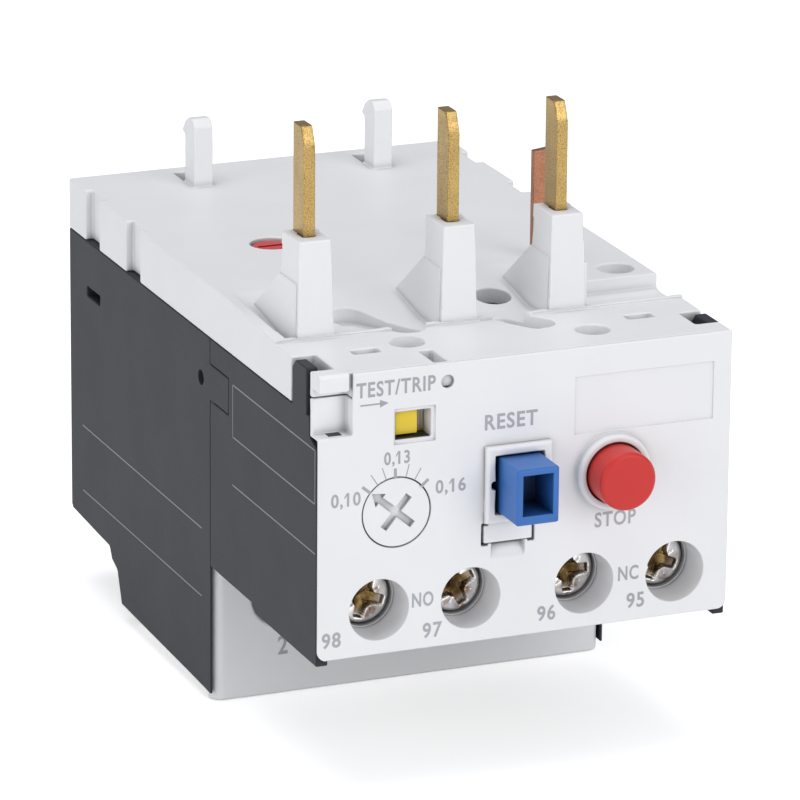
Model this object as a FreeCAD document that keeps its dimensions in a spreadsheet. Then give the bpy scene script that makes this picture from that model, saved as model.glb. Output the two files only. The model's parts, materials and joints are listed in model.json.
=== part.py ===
import FreeCAD, Part
import Sketcher
import math
import os

# Thermal overload relay: three line pins on top, load terminals below, front panel with
# setting dial, reset and stop buttons and four auxiliary terminals. Millimetres.
# X runs across the module, Y from the front panel to the rear, Z up.

doc = FreeCAD.newDocument("ThermalOverloadRelay")

sizes = {
    # outer casing
    "module_width": 45.0,
    "body_depth": 74.0,
    "split_depth": 30.4,
    "deck_height": 44.8,
    "cover_height": 45.7,
    "deck_length": 12.0,
    "rail_thick": 0.6,
    "rail_rise": 0.3,
    "pocket_floor": 44.0,
    "block_front": 18.4,
    "pocket_rise": 1.0,
    "block_left": 13.6,
    "recess_depth": 1.9,
    "nose_rise": 0.3,
    "nose_bottom": 43.1,
    "ramp_end": 28.0,
    "skirt_bottom": 40.1,
    "skirt_front": 7.5,
    "corner_tab_front": 3.3,
    "corner_tab_wide": 1.25,
    "corner_tab_foot": 1.0,
    "corner_tab_drop": 0.9,
    "corner_tab_bevel": 0.8,
    "corner_notch_wide": 2.6,
    "corner_strip": 0.9,
    "front_bottom": 14.3,
    "front_step": 0.85,
    "front_step_start": 17.4,
    "front_step_run": 1.2,
    "ear_slope": 0.8,
    "rear_bottom": 1.0,
    "rear_raise": 6.9,
    "rear_raise_start": 57.9,
    "rear_raise_run": 3.8,
    "foot_rise": 0.8,
    "knee_run": 0.35,
    "knee_drop": 2.6,
    "shoulder_run": 0.8,
    "shoulder_drop": 1.9,
    "toe_drop": 0.65,
    "rear_edge": 0.4,
    "tongue_reach": 5.35,
    "tongue_bottom": 33.4,
    "tongue_top": 37.3,
    "side_slot_start": 64.2,
    "side_slot_length": 4.2,
    "side_slot_bottom": 33.9,
    "side_slot_height": 1.1,
    "side_hole_depth": 33.06,
    "side_hole_up": 35.08,
    "side_hole_radius": 0.82,
    "lever_window": 4.0,
    "wall": 1.3,
    "roof": 1.5,
    "deck_roof": 2.6,
    "base_thick": 1.3,
    "fit_gap": 0.1,
    "seat_gap": 0.03,
    "run_gap": 0.3,
    "bite": 0.1,
    "root": 0.5,
    # front panel
    "panel_bottom": 15.0,
    "panel_skin": 0.35,
    "panel_depth": 2.3,
    "cheek": 0.8,
    "ear_bottom": 38.1,
    "panel_corner": 1.0,
    "corner_recess_width": 3.65,
    "corner_recess_bottom": 38.4,
    "corner_recess_depth": 1.8,
    "recess_slot_left": 1.4,
    "recess_slot_right": 1.1,
    "recess_slot_front": 0.8,
    "recess_slot_back": 1.6,
    "recess_slot_deep": 2.0,
    "window_left": -14.2,
    "window_width": 3.85,
    "window_bottom": 37.3,
    "window_height": 2.9,
    "window_frame": 0.4,
    "frame_depth": 0.25,
    "flag_rail_below": 2.0,
    "flag_rail_above": 1.1,
    "flag_rail_left": 2.8,
    "flag_rail_right": 6.2,
    "flag_rail_height": 0.8,
    "flag_rail_reach": 1.3,
    "label_left": 5.2,
    "label_width": 15.3,
    "label_bottom": 35.7,
    "label_height": 6.05,
    "label_depth": 0.15,
    "dimple_across": -8.7,
    "dimple_up": 42.9,
    "dimple_radius": 0.7,
    "dimple_depth": 0.9,
    # setting dial
    "dial_across": -14.07,
    "dial_up": 29.8,
    "dial_radius": 3.6,
    "dial_gap": 0.12,
    "dial_flange": 0.6,
    "dial_flange_thick": 0.8,
    "dial_shaft_radius": 1.6,
    "dial_slot_long": 4.6,
    "dial_slot_short": 4.2,
    "dial_slot_width": 0.75,
    "dial_turned": 50.0,
    "dial_slot_depth": 0.5,
    "arrow_back": -0.1,
    "arrow_tip": 1.15,
    "arrow_side": 0.85,
    "cam_radius": 3.0,
    "cam_offset": 0.6,
    "cam_start": 8.5,
    "cam_thick": 2.0,
    # reset button and its bezel
    "reset_across": -1.05,
    "reset_up": 31.6,
    "reset_width": 4.6,
    "reset_height": 5.9,
    "reset_reach": 5.4,
    "reset_wall": 0.68,
    "reset_hollow": 4.6,
    "reset_side_gap": 0.35,
    "reset_end_gap": 0.15,
    "reset_flange": 0.9,
    "reset_flange_drop": 0.4,
    "reset_floor": 0.3,
    "reset_edge": 0.25,
    "bezel_rim": 0.95,
    "bezel_rise": 0.8,
    "bezel_lap": 0.4,
    "bezel_guide": 5.0,
    "tab_left": -4.6,
    "tab_width": 5.3,
    "tab_bottom": 25.3,
    "slit": 0.25,
    "slit_return": 0.5,
    "slit_rise": 2.15,
    "ramp_left": -3.75,
    "ramp_width": 3.65,
    "ramp_drop": 1.65,
    "ramp_depth": 1.2,
    "ramp_slot": 0.4,
    "button_stem_radius": 1.2,
    "reset_stem_end": 14.8,
    # stop button
    "stop_across": 9.4,
    "stop_up": 31.45,
    "stop_radius": 3.08,
    "stop_reach": 4.2,
    "stop_gap": 0.15,
    "stop_edge": 0.5,
    "stop_flange": 0.8,
    "stop_ring_wall": 0.75,
    "stop_ring_rise": 1.0,
    "stop_stem_end": 14.6,
    "flange_thick": 1.0,
    "spring_wire": 0.4,
    "reset_spring_radius": 2.2,
    "stop_spring_radius": 2.4,
    "spring_turns": 5.0,
    # trip flag
    "flag_left": -13.85,
    "flag_width": 2.4,
    "prong_gap": 0.15,
    "flag_height": 2.45,
    "flag_face": 1.2,
    "flag_lap": 1.3,
    "flag_plate": 0.8,
    "flag_prong": 0.8,
    "flag_prong_reach": 2.0,
    "flag_drop": 0.2,
    "flag_plate_low": 1.1,
    "flag_plate_high": 1.3,
    "flag_seat": 0.09,
    "prong_rise": 0.3,
    # auxiliary terminals
    "aux_up": 19.7,
    "aux_98": -15.87,
    "aux_97": -5.91,
    "aux_96": 6.56,
    "aux_95": 16.63,
    "aux_hole_radius": 3.22,
    "collar_wall": 0.6,
    "collar_end": 4.2,
    "aux_head_radius": 2.8,
    "aux_head_face": 4.3,
    "aux_head_thick": 1.85,
    "aux_shank_radius": 1.45,
    "aux_shank_end": 11.6,
    "aux_drive": 1.6,
    "screw_edge": 0.35,
    "drive_width": 0.7,
    "drive_deep": 1.0,
    "aux_clamp_side": 6.4,
    "aux_clamp_thick": 0.9,
    "aux_plate_thick": 1.2,
    "aux_plate_bottom": 17.0,
    "aux_plate_top": 24.0,
    "aux_plate_width": 6.2,
    "aux_arm_width": 3.0,
    "aux_arm_thick": 1.0,
    "aux_tab_top": 30.0,
    "wire_hole_width": 5.2,
    "wire_hole_start": 5.0,
    "wire_hole_length": 4.6,
    # contacts
    "plate_front": 12.5,
    "plate_thick": 1.5,
    "moving_blade_front": 17.2,
    "blade_thick": 0.3,
    "blade_bottom": 27.0,
    "blade_height": 3.0,
    "blade_reach": 1.3,
    "contact_radius": 1.2,
    "contact_thick": 0.6,
    "contact_gap": 0.05,
    "no_tab_back": 2.8,
    "nc_tab_back": 0.4,
    "blade_seat": 1.2,
    "blade_end": 0.3,
    "stop_lug_side": 1.0,
    "stop_lug_top": 1.0,
    "stop_lug_lap": 0.2,
    "carrier_front": 14.6,
    "carrier_thick": 1.4,
    "carrier_bottom": 33.6,
    "carrier_height": 1.8,
    "finger_width": 1.2,
    "guide_left": -8.0,
    "guide_right": 5.0,
    "guide_radius": 0.5,
    "snap_bow": 1.0,
    "no_finger_across": -13.0,
    "nc_finger_across": 11.8,
    "no_finger_gap": 0.4,
    "nc_finger_gap": 0.75,
    "carrier_left": 1.0,
    "carrier_right": 1.2,
    "finger_up": 1.0,
    "snap_foot": 1.5,
    "snap_stand": 1.2,
    "snap_half_height": 0.6,
    "snap_bend": 0.1,
    # levers of the trip mechanism
    "pivot_across": -10.0,
    "pivot_depth": 21.0,
    "pivot_radius": 0.8,
    "pin_gap": 0.05,
    "lever_bottom": 38.0,
    "lever_thick": 1.0,
    "lever_tip_width": 1.2,
    "lever_tip_front": 4.0,
    "hub_radius": 2.0,
    "hub_rise": 0.5,
    "lever_neck": 3.0,
    "lever_root": 1.5,
    "strip_lug_side": 1.0,
    "strip_lug_start": 0.5,
    "strip_lug_end": 1.5,
    "strip_lift": 0.2,
    "strip_slot_end": 1.6,
    "strip_rise": 0.6,
    "shelf_bottom": 36.0,
    "shelf_thick": 1.2,
    "shelf_side": 3.0,
    "shelf_end": 2.2,
    "lever_way_left": 3.8,
    "lever_way_right": 1.2,
    "lever_way_rise": 0.4,
    "plate_rise": 0.3,
    "lug_reach": 1.2,
    "guide_reach": 3.6,
    "pin_rise": 1.0,
    "strip_thick": 0.5,
    "strip_start": 22.5,
    "strip_end": 34.0,
    "reset_lever_up": 25.2,
    "reset_lever_depth": 16.4,
    "reset_lever_top": 33.0,
    "reset_lever_width": 2.7,
    "reset_lever_hub": 1.2,
    "reset_pin_radius": 0.6,
    "lug_thick": 0.9,
    "arm_pivot_across": -9.9,
    "arm_pivot_up": 35.4,
    "arm_pivot_radius": 0.9,
    "arm_width": 1.6,
    "arm_bottom": 28.2,
    "cam_gap": 0.18,
    "arm_pin_front": 0.4,
    "arm_front": 0.3,
    "arm_thin": 0.6,
    "arm_hub_wall": 0.7,
    "arm_hub_right": 1.2,
    "arm_hub_left": 1.0,
    "arm_shoulder": 2.8,
    "cam_lean": 0.77,
    # heaters and slides
    "pole_pitch": 14.5,
    "bimetal_thick": 0.8,
    "bimetal_start": 44.0,
    "bimetal_width": 5.0,
    "bimetal_top": 38.2,
    "bimetal_gap": 0.2,
    "sleeve_wall": 0.6,
    "sleeve_gap": 0.1,
    "sleeve_bottom": 19.0,
    "sleeve_height": 15.5,
    "coil_wire": 0.5,
    "coil_pitch": 1.15,
    "coil_turns": 12.0,
    "coil_bottom": 19.6,
    "coil_bar_side": 0.4,
    "coil_bar_thick": 0.4,
    "coil_lug_side": 1.0,
    "coil_lug_thick": 1.0,
    "slide_half_length": 19.0,
    "slide_bottom": 36.2,
    "slide_thick": 1.6,
    "slide_width": 2.0,
    "slide_lift": 0.3,
    "fork_gap": 0.3,
    "slide_finger": 1.2,
    "finger_past": 0.4,
    "slide_pin_rise": 0.5,
    "main_slide_front": 40.8,
    "differential_slide_front": 50.4,
    "lever_pin_across": -6.0,
    "lever_pin_radius": 0.8,
    "nose_gap": 0.75,
    "nose_front": 32.6,
    "phase_hub_wall": 0.9,
    "phase_nose_wide": 0.8,
    "phase_nose_long": 1.6,
    "phase_arm_right": 1.2,
    "phase_arm_left": 1.6,
    "phase_arm_front": 1.0,
    "fork_wall": 1.0,
    "fork_back": 0.6,
    "fork_long": 3.0,
    "fork_slot": 1.4,
    # line pins
    "pin_left": -18.62,
    "pin_middle": -3.0,
    "pin_right": 8.92,
    "pin_thick": 1.25,
    "pin_front": 14.0,
    "pin_width": 3.0,
    "pin_top": 66.3,
    "pin_bevel": 0.9,
    "pin_bevel_height": 2.1,
    "tail_top": 42.0,
    "tail_thick": 1.2,
    "tail_bend": 29.0,
    "tail_run": 6.0,
    "tail_bend_back": 1.5,
    "tail_width": 2.6,
    "lug_front": 54.3,
    "lug_bottom": 28.0,
    "boss_top": 55.0,
    "boss_front": 12.1,
    "boss_depth": 5.2,
    "boss_half_width": 2.0,
    "boss_taper": 1.3,
    "boss_step": 0.25,
    "boss_step_wide": 0.6,
    "boss_step_back": 0.15,
    "boss_step_top": 49.7,
    "gusset_top": 50.6,
    "gusset_end": 25.0,
    "gusset_foot": 0.5,
    "gusset_rise": 0.9,
    # coil terminal
    "coil_blade_left": 12.3,
    "coil_blade_width": 2.6,
    "coil_blade_front": 27.4,
    "coil_blade_thick": 0.8,
    "coil_blade_top": 57.4,
    "coil_blade_slope": 0.3,
    "coil_blade_bottom": 37.5,
    # latch hooks
    "hook_left": -11.1,
    "hook_right": 9.9,
    "hook_width": 2.2,
    "hook_front": 65.5,
    "hook_thick": 3.0,
    "hook_top": 53.2,
    "hook_nose": 0.9,
    "hook_slot": 3.6,
    "hook_nose_bottom": 2.3,
    "hook_nose_low": 1.95,
    "hook_nose_high": 0.75,
    "hook_back_bevel": 1.1,
    "hook_front_bevel": 0.8,
    # load terminals
    "load_up": 11.0,
    "load_hole_radius": 3.3,
    "load_head_radius": 2.9,
    "load_head_face": 33.0,
    "load_head_thick": 2.6,
    "load_shank_radius": 1.95,
    "load_shank_end": 43.5,
    "load_drive": 1.9,
    "load_clamp_side": 8.0,
    "load_clamp_thick": 1.4,
    "load_plate_thick": 1.6,
    "load_plate_bottom": 4.4,
    "load_plate_width": 8.6,
    "load_shelf_top": 17.4,
    "load_shelf_end": 50.0,
    "load_shelf_width": 13.0,
    "load_wire_width": 7.0,
    "load_wire_start": 32.3,
    "load_wire_length": 4.7,
    "partition_thick": 1.2,
    "partition_top": 36.0,
    "foot_end": 56.0,
    "cover_corner": 1.3,
    "cover_inset": 0.3,
    "cover_lap": 0.2,
    "partition_start": 2.6,
    # calibration screw
    "calibration_across": -10.9,
    "calibration_depth": 42.8,
    "calibration_head_radius": 2.2,
    "calibration_well_radius": 2.3,
    "calibration_shank_radius": 1.2,
    "calibration_tube_radius": 3.1,
    "calibration_tube_bottom": 42.3,
    "calibration_head_top": 45.4,
    "calibration_head_thick": 1.6,
    "calibration_slot": 3.0,
    "calibration_slot_width": 0.5,
    "calibration_slot_deep": 0.6,
    # recesses in the top of the cover
    "left_pocket_rear_across": -11.6,
    "left_pocket_rear": 19.6,
    "left_pocket_front_across": -7.9,
    "left_pocket_front": 12.7,
    "left_pocket_radius": 2.0,
    "right_pocket_rear_across": 2.6,
    "right_pocket_rear": 13.0,
    "right_pocket_front_across": 5.1,
    "right_pocket_front": 9.2,
    "right_pocket_radius": 1.7,
    "rear_hole_radius": 1.9,
    "slope_hole_across": 4.9,
    "slope_hole_depth": 20.6,
    "block_hole_across": 19.2,
    "block_hole_depth": 21.6,
    "deck_hole_radius": 1.8,
    "left_deck_hole_across": -9.8,
    "left_deck_hole_depth": 8.1,
    "right_deck_hole_across": 9.4,
    "right_deck_hole_depth": 5.4,
    "mark_length": 3.0,
    "mark_width": 1.5,
    "mark_deep": 1.0,
    "left_mark_across": -16.3,
    "left_mark_depth": 6.0,
    "right_mark_across": 14.2,
    "right_mark_depth": 7.2,
    "deck_slot_left": -9.85,
    "deck_slot_right": -8.4,
    "deck_slot_front": 0.8,
    "deck_slot_back": 4.9,
    "first_notch_depth": 51.5,
    "second_notch_depth": 64.3,
    "side_notch_length": 4.4,
    "side_notch_deep": 0.9,
    "lip_thick": 1.0,
    "lip_drop": 1.5,
    "lip_length": 7.0,
    "nose_side_gap": 0.45,
    "nose_top": 0.2,
    "nose_root": 1.0,
    "nose_bevel": 0.3,
}


def fill_sheet():
    sheet = doc.addObject("Spreadsheet::Sheet", "Sizes")
    for row, (alias, value) in enumerate(sizes.items(), start=1):
        sheet.set(f"A{row}", alias)
        sheet.set(f"B{row}", str(value))
        sheet.setAlias(f"B{row}", alias)
    doc.recompute()


class Size:
    # A length that knows its value now and the sheet expression that gives it.
    def __init__(self, text, number):
        self.text = text
        self.number = number

    def join(self, sign, other, number):
        return Size(f"({self.text} {sign} {other.text})", number)

    def __add__(self, other):
        other = as_size(other)
        return self.join("+", other, self.number + other.number)

    def __sub__(self, other):
        other = as_size(other)
        return self.join("-", other, self.number - other.number)

    def __mul__(self, other):
        other = as_size(other)
        return self.join("*", other, self.number * other.number)

    def __truediv__(self, other):
        other = as_size(other)
        return self.join("/", other, self.number / other.number)

    def __radd__(self, other):
        return as_size(other) + self

    def __rsub__(self, other):
        return as_size(other) - self

    def __rmul__(self, other):
        return as_size(other) * self

    def __neg__(self):
        return Size(f"(0 - {self.text})", -self.number)


def as_size(value):
    if isinstance(value, Size):
        return value
    return Size(f"{value}", float(value))


class Sheet:
    def __getattr__(self, alias):
        return Size(f"Sizes.{alias}", sizes[alias])


fill_sheet()
s = Sheet()

half = s.module_width / 2
inner = half - s.wall
depth_shift = (s.body_depth - s.reset_reach) / 2
front_floor_top = s.front_bottom + s.base_thick
plate_back = s.plate_front + s.plate_thick
poles = {"1": -s.pole_pitch, "2": as_size(0), "3": s.pole_pitch}
pin_sides = {"1": s.pin_left, "2": s.pin_middle, "3": s.pin_right}
aux_places = {"98": s.aux_98, "97": s.aux_97, "96": s.aux_96, "95": s.aux_95}
aux_plate_front = s.aux_head_face + s.aux_head_thick + s.aux_clamp_thick
load_plate_front = s.load_head_face + s.load_head_thick + s.load_clamp_thick
tail_bottom = s.tail_top - s.tail_thick
bodies = []


# Sketch outlines. Each function returns the closed outlines of one sketch.

def rectangle(left, right, low, high):
    return polygon([(left, low), (right, low), (right, high), (left, high)])


def polygon(corners):
    def draw(sketch):
        first = sketch.GeometryCount
        count = len(corners)
        points = [(as_size(a), as_size(b)) for a, b in corners]
        for index in range(count):
            start = points[index]
            end = points[(index + 1) % count]
            line = Part.LineSegment(
                FreeCAD.Vector(start[0].number, start[1].number, 0),
                FreeCAD.Vector(end[0].number, end[1].number, 0))
            sketch.addGeometry(line, False)
        for index in range(count):
            after = first + (index + 1) % count
            sketch.addConstraint(Sketcher.Constraint("Coincident", first + index, 2, after, 1))
        for index in range(count):
            pin_point(sketch, first + index, 1, points[index])
    return draw


def circle(across, up, radius):
    def draw(sketch):
        centre = (as_size(across), as_size(up))
        size = as_size(radius)
        place = FreeCAD.Vector(centre[0].number, centre[1].number, 0)
        edge = sketch.addGeometry(Part.Circle(place, FreeCAD.Vector(0, 0, 1), size.number), False)
        pin_point(sketch, edge, 3, centre)
        bind(sketch, Sketcher.Constraint("Radius", edge, size.number), f"r{edge}", size)
    return draw


def slot(start, end, radius):
    # A straight slot with round ends, from one end's centre to the other's.
    def draw(sketch):
        a = (as_size(start[0]), as_size(start[1]))
        b = (as_size(end[0]), as_size(end[1]))
        size = as_size(radius)
        run = math.atan2(b[1].number - a[1].number, b[0].number - a[0].number)
        side = FreeCAD.Vector(-math.sin(run), math.cos(run), 0) * size.number
        one = FreeCAD.Vector(a[0].number, a[1].number, 0)
        two = FreeCAD.Vector(b[0].number, b[1].number, 0)
        up = FreeCAD.Vector(0, 0, 1)
        quarter = math.pi / 2
        far = Part.ArcOfCircle(Part.Circle(two, up, size.number), run - quarter, run + quarter)
        near = Part.ArcOfCircle(Part.Circle(one, up, size.number), run + quarter, run - quarter)
        arc_far = sketch.addGeometry(far, False)
        arc_near = sketch.addGeometry(near, False)
        top = sketch.addGeometry(Part.LineSegment(two + side, one + side), False)
        low = sketch.addGeometry(Part.LineSegment(one - side, two - side), False)
        for first, end_one, second, end_two in ((arc_far, 2, top, 1), (top, 2, arc_near, 1),
                                                (arc_near, 2, low, 1), (low, 2, arc_far, 1)):
            sketch.addConstraint(Sketcher.Constraint("Tangent", first, end_one, second, end_two))
        pin_point(sketch, arc_far, 3, b)
        pin_point(sketch, arc_near, 3, a)
        bind(sketch, Sketcher.Constraint("Radius", arc_far, size.number), f"r{arc_far}", size)
    return draw


def bind(sketch, constraint, name, size):
    index = sketch.addConstraint(constraint)
    sketch.renameConstraint(index, name)
    sketch.setExpression(f"Constraints.{name}", size.text)


def pin_point(sketch, edge, end, point):
    across, up = point
    bind(sketch, Sketcher.Constraint("DistanceX", edge, end, across.number), f"x{edge}_{end}", across)
    bind(sketch, Sketcher.Constraint("DistanceY", edge, end, up.number), f"y{edge}_{end}", up)


# Bodies and features. A sketch lies on one of the body's origin planes: XY, XZ or YZ.

def new_body(label):
    body = doc.addObject("PartDesign::Body", label)
    body.Label = label
    body.setExpression(".Placement.Base.y", (-depth_shift).text)
    bodies.append(body)
    return body


def place_sketch(body, plane, level, outlines):
    sketch = body.newObject("Sketcher::SketchObject", f"{body.Name}_outline")
    for feature in body.Origin.OriginFeatures:
        if feature.Role == f"{plane}_Plane":
            sketch.AttachmentSupport = (feature, [""])
    sketch.MapMode = "FlatFace"
    sketch.setExpression(".AttachmentOffset.Base.z", level.text)
    for outline in outlines:
        outline(sketch)
    return sketch


def extrude(body, plane, low, high, *outlines, taper=None):
    low = as_size(low)
    high = as_size(high)
    level = -high if plane == "XZ" else low
    sketch = place_sketch(body, plane, level, outlines)
    pad = body.newObject("PartDesign::Pad", f"{body.Name}_pad")
    pad.Profile = sketch
    pad.setExpression("Length", (high - low).text)
    if taper is not None:
        pad.setExpression("TaperAngle", (-taper).text)
    return pad


def cut(body, plane, low, high, *outlines):
    low = as_size(low)
    high = as_size(high)
    level = -low if plane == "XZ" else high
    sketch = place_sketch(body, plane, level, outlines)
    doc.recompute()
    before = body.Shape.Volume
    pocket = body.newObject("PartDesign::Pocket", f"{body.Name}_pocket")
    pocket.Profile = sketch
    pocket.setExpression("Length", (high - low).text)
    doc.recompute()
    if body.Shape.Volume > before - 1e-6:
        raise RuntimeError(f"{pocket.Name} cuts nothing")
    return pocket


def soften(body, radius, wanted, chamfer=False):
    # Rounds or chamfers the edges of the body that wanted(edge) accepts.
    doc.recompute()
    base = body.Tip
    names = [f"Edge{n}" for n, edge in enumerate(base.Shape.Edges, start=1) if wanted(edge)]
    kind = "PartDesign::Chamfer" if chamfer else "PartDesign::Fillet"
    feature = body.newObject(kind, f"{body.Name}_edge")
    feature.Base = (base, names)
    feature.setExpression("Size" if chamfer else "Radius", radius.text)
    body.Tip = feature
    doc.recompute()
    return feature


def near(value, target, slack=0.01):
    return abs(value - as_size(target).number) < slack


def edge_box(edge):
    return edge.BoundBox


def on_depth(edge, depth):
    box = edge_box(edge)
    return near(box.YMin, depth) and near(box.YMax, depth)


def upright(edge):
    box = edge_box(edge)
    return box.XLength < 0.01 and box.YLength < 0.01


# Casing

def front_panel():
    body = new_body("front_panel")
    behind_top = s.deck_height - s.deck_roof - s.fit_gap
    behind_half = half - s.cheek - s.fit_gap
    extrude(body, "XZ", 0, s.panel_skin, rectangle(-half, half, s.panel_bottom, s.deck_height))
    soften(body, s.panel_corner, lambda edge: edge_box(edge).XLength < 0.01
           and edge_box(edge).ZLength < 0.01 and near(edge_box(edge).ZMin, s.panel_bottom))
    extrude(body, "XZ", s.panel_skin - s.bite, s.panel_depth,
            rectangle(-behind_half, behind_half, s.panel_bottom, behind_top))
    extrude(body, "XZ", s.panel_skin - s.bite, s.panel_depth,
            rectangle(-half, half, s.ear_bottom, behind_top))
    for across in aux_places.values():
        extrude(body, "XZ", s.panel_depth - s.bite, s.collar_end,
                circle(across, s.aux_up, s.aux_hole_radius + s.collar_wall))
    ring = s.stop_radius + s.stop_gap
    extrude(body, "XZ", -s.stop_ring_rise, s.bite,
            circle(s.stop_across, s.stop_up, ring + s.stop_ring_wall))
    soften(body, s.stop_ring_wall / 2, lambda edge: on_depth(edge, -s.stop_ring_rise))
    for across in aux_places.values():
        cut(body, "XZ", 0, s.collar_end, circle(across, s.aux_up, s.aux_hole_radius))
    cut(body, "XZ", -s.stop_ring_rise, s.panel_depth, circle(s.stop_across, s.stop_up, ring))
    cut(body, "XZ", 0, s.panel_depth, circle(s.dial_across, s.dial_up, s.dial_radius + s.dial_gap))
    cut(body, "XZ", 0, s.dimple_depth, circle(s.dimple_across, s.dimple_up, s.dimple_radius))
    cut_window(body)
    cut(body, "XZ", 0, s.label_depth, rectangle(s.label_left, s.label_left + s.label_width,
                                                s.label_bottom, s.label_bottom + s.label_height))
    recess_right = s.corner_recess_width - half
    cut(body, "XZ", 0, s.corner_recess_depth,
        rectangle(-half, recess_right, s.corner_recess_bottom, s.deck_height))
    cut(body, "XY", s.corner_recess_bottom - s.recess_slot_deep, s.corner_recess_bottom,
        rectangle(s.recess_slot_left - half, recess_right - s.recess_slot_right,
                  s.recess_slot_front, s.recess_slot_back))
    for outline in bezel_outlines(s.seat_gap):
        cut(body, "XZ", 0, s.panel_depth, outline)
    for outline in tab_slits():
        cut(body, "XZ", 0, s.panel_depth, outline)
    cut(body, "YZ", s.ramp_left, s.ramp_left + s.ramp_width,
        polygon([(0, s.tab_bottom - s.ramp_drop), (0, s.tab_bottom),
                 (s.ramp_depth, s.tab_bottom)]))
    cut(body, "XZ", 0, s.panel_depth,
        rectangle(s.ramp_left, s.ramp_left + s.ramp_width, s.tab_bottom - s.ramp_slot,
                  s.tab_bottom))
    for low in (s.window_bottom - s.flag_rail_below,
                s.window_bottom + s.window_height + s.flag_rail_above):
        extrude(body, "XZ", s.panel_depth - s.bite, s.panel_depth + s.flag_rail_reach,
                rectangle(s.window_left - s.flag_rail_left, s.window_left + s.flag_rail_right,
                          low, low + s.flag_rail_height))


def cut_window(body):
    right = s.window_left + s.window_width
    top = s.window_bottom + s.window_height
    cut(body, "XZ", 0, s.frame_depth,
        rectangle(s.window_left - s.window_frame / 2, right + s.window_frame,
                  s.window_bottom - s.window_frame, top + s.window_frame))
    cut(body, "XZ", 0, s.panel_depth, rectangle(s.window_left, right, s.window_bottom, top))


def bezel_outlines(gap):
    # The block of the bezel in the panel and its lower tab, grown by the gap.
    reach = s.reset_width / 2 + s.reset_side_gap + s.bezel_rim - s.bezel_lap + gap
    rise = s.reset_height / 2 + s.reset_end_gap + s.bezel_rim - s.bezel_lap + gap
    block = rectangle(s.reset_across - reach, s.reset_across + reach,
                      s.reset_up - rise, s.reset_up + rise)
    tab = rectangle(s.tab_left - gap, s.tab_left + s.tab_width + gap,
                    s.tab_bottom - gap, s.reset_up - s.reset_height / 2 + gap)
    return block, tab


def tab_slits():
    # Two bracket shaped slits beside the tab.
    low = s.tab_bottom - s.slit
    high = low + s.slit_rise + s.slit
    left = s.tab_left
    right = s.tab_left + s.tab_width
    brackets = []
    for side, turn in ((left, 1), (right, -1)):
        outer = side - turn * s.slit
        end = side + turn * s.slit_return
        brackets.append(polygon([
            (outer, low), (end, low), (end, low + s.slit), (side, low + s.slit),
            (side, high - s.slit), (end, high - s.slit), (end, high), (outer, high)]))
    return brackets


def reset_bezel():
    body = new_body("reset_bezel")
    reach = s.reset_width / 2 + s.reset_side_gap
    rise = s.reset_height / 2 + s.reset_end_gap
    rim = s.bezel_rim
    extrude(body, "XZ", -s.bezel_rise, 0,
            rectangle(s.reset_across - reach - rim, s.reset_across + reach + rim,
                      s.reset_up - rise - rim, s.reset_up + rise + rim))
    soften(body, s.bezel_rise / 2, lambda edge: on_depth(edge, -s.bezel_rise))
    block, tab = bezel_outlines(as_size(0))
    extrude(body, "XZ", -s.bezel_rise / 2, s.bezel_guide, block)
    extrude(body, "XZ", 0, s.panel_depth, tab)
    cut(body, "XZ", -s.bezel_rise, s.bezel_guide,
        rectangle(s.reset_across - reach, s.reset_across + reach,
                  s.reset_up - rise, s.reset_up + rise))
    cut(body, "XZ", -s.bezel_rise, s.panel_depth,
        circle(s.reset_across - reach, s.reset_up, s.bezel_rim / 2))
    for outline in tab_slits():
        cut(body, "XZ", 0, s.panel_depth, outline)


def side_profile_front():
    # Side view of the front housing, from the panel's lower corner round to the joint.
    raised = s.front_bottom + s.front_step
    return polygon([
        (s.panel_skin + s.fit_gap, s.front_bottom), (s.front_step_start, s.front_bottom),
        (s.front_step_start + s.front_step_run, raised), (s.split_depth, raised),
        (s.split_depth, s.skirt_bottom), (s.panel_depth + s.fit_gap, s.skirt_bottom),
        (s.panel_depth + s.fit_gap, s.ear_bottom - s.fit_gap),
        (s.panel_skin + s.fit_gap, s.ear_bottom - s.fit_gap - s.ear_slope)])


def front_housing():
    body = new_body("front_housing")
    back = s.panel_depth + s.fit_gap
    floor_top = front_floor_top + s.front_step
    extrude(body, "YZ", -half, half, side_profile_front())
    cut(body, "XY", floor_top, s.skirt_bottom, rectangle(-inner, inner, back, s.split_depth - s.wall))
    cut(body, "XY", front_floor_top, floor_top, rectangle(-inner, inner, back, s.front_step_start))
    cheek_inner = half - s.cheek
    cut(body, "XY", s.panel_bottom - s.fit_gap, s.skirt_bottom,
        rectangle(-cheek_inner, cheek_inner, s.panel_skin, back))
    cut(body, "XY", s.front_bottom, s.panel_bottom, rectangle(-inner, inner, s.panel_skin, back))
    tab_inner = half - s.corner_tab_wide
    tab_back = s.skirt_front - s.run_gap
    tab = polygon([(s.corner_tab_front, s.skirt_bottom - s.corner_tab_foot),
                   (tab_back, s.skirt_bottom - s.corner_tab_foot),
                   (tab_back, s.deck_height - s.corner_tab_drop),
                   (tab_back - s.corner_tab_bevel, s.deck_height),
                   (s.corner_tab_front, s.deck_height)])
    extrude(body, "YZ", -half, -tab_inner, tab)
    extrude(body, "YZ", tab_inner, half, tab)
    for across in aux_places.values():
        cut(body, "XY", s.front_bottom, front_floor_top,
            rectangle(across - s.wire_hole_width / 2, across + s.wire_hole_width / 2,
                      s.wire_hole_start, s.wire_hole_start + s.wire_hole_length))
    window_low = s.slide_bottom - s.run_gap
    cut(body, "XZ", s.split_depth - s.wall, s.split_depth,
        rectangle(s.pivot_across - s.lever_window, s.pivot_across + s.lever_window,
                  window_low, s.skirt_bottom))
    for low, high in ((-half, -inner), (inner, half)):
        cut(body, "YZ", low, high, tongue(s.seat_gap))


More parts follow.
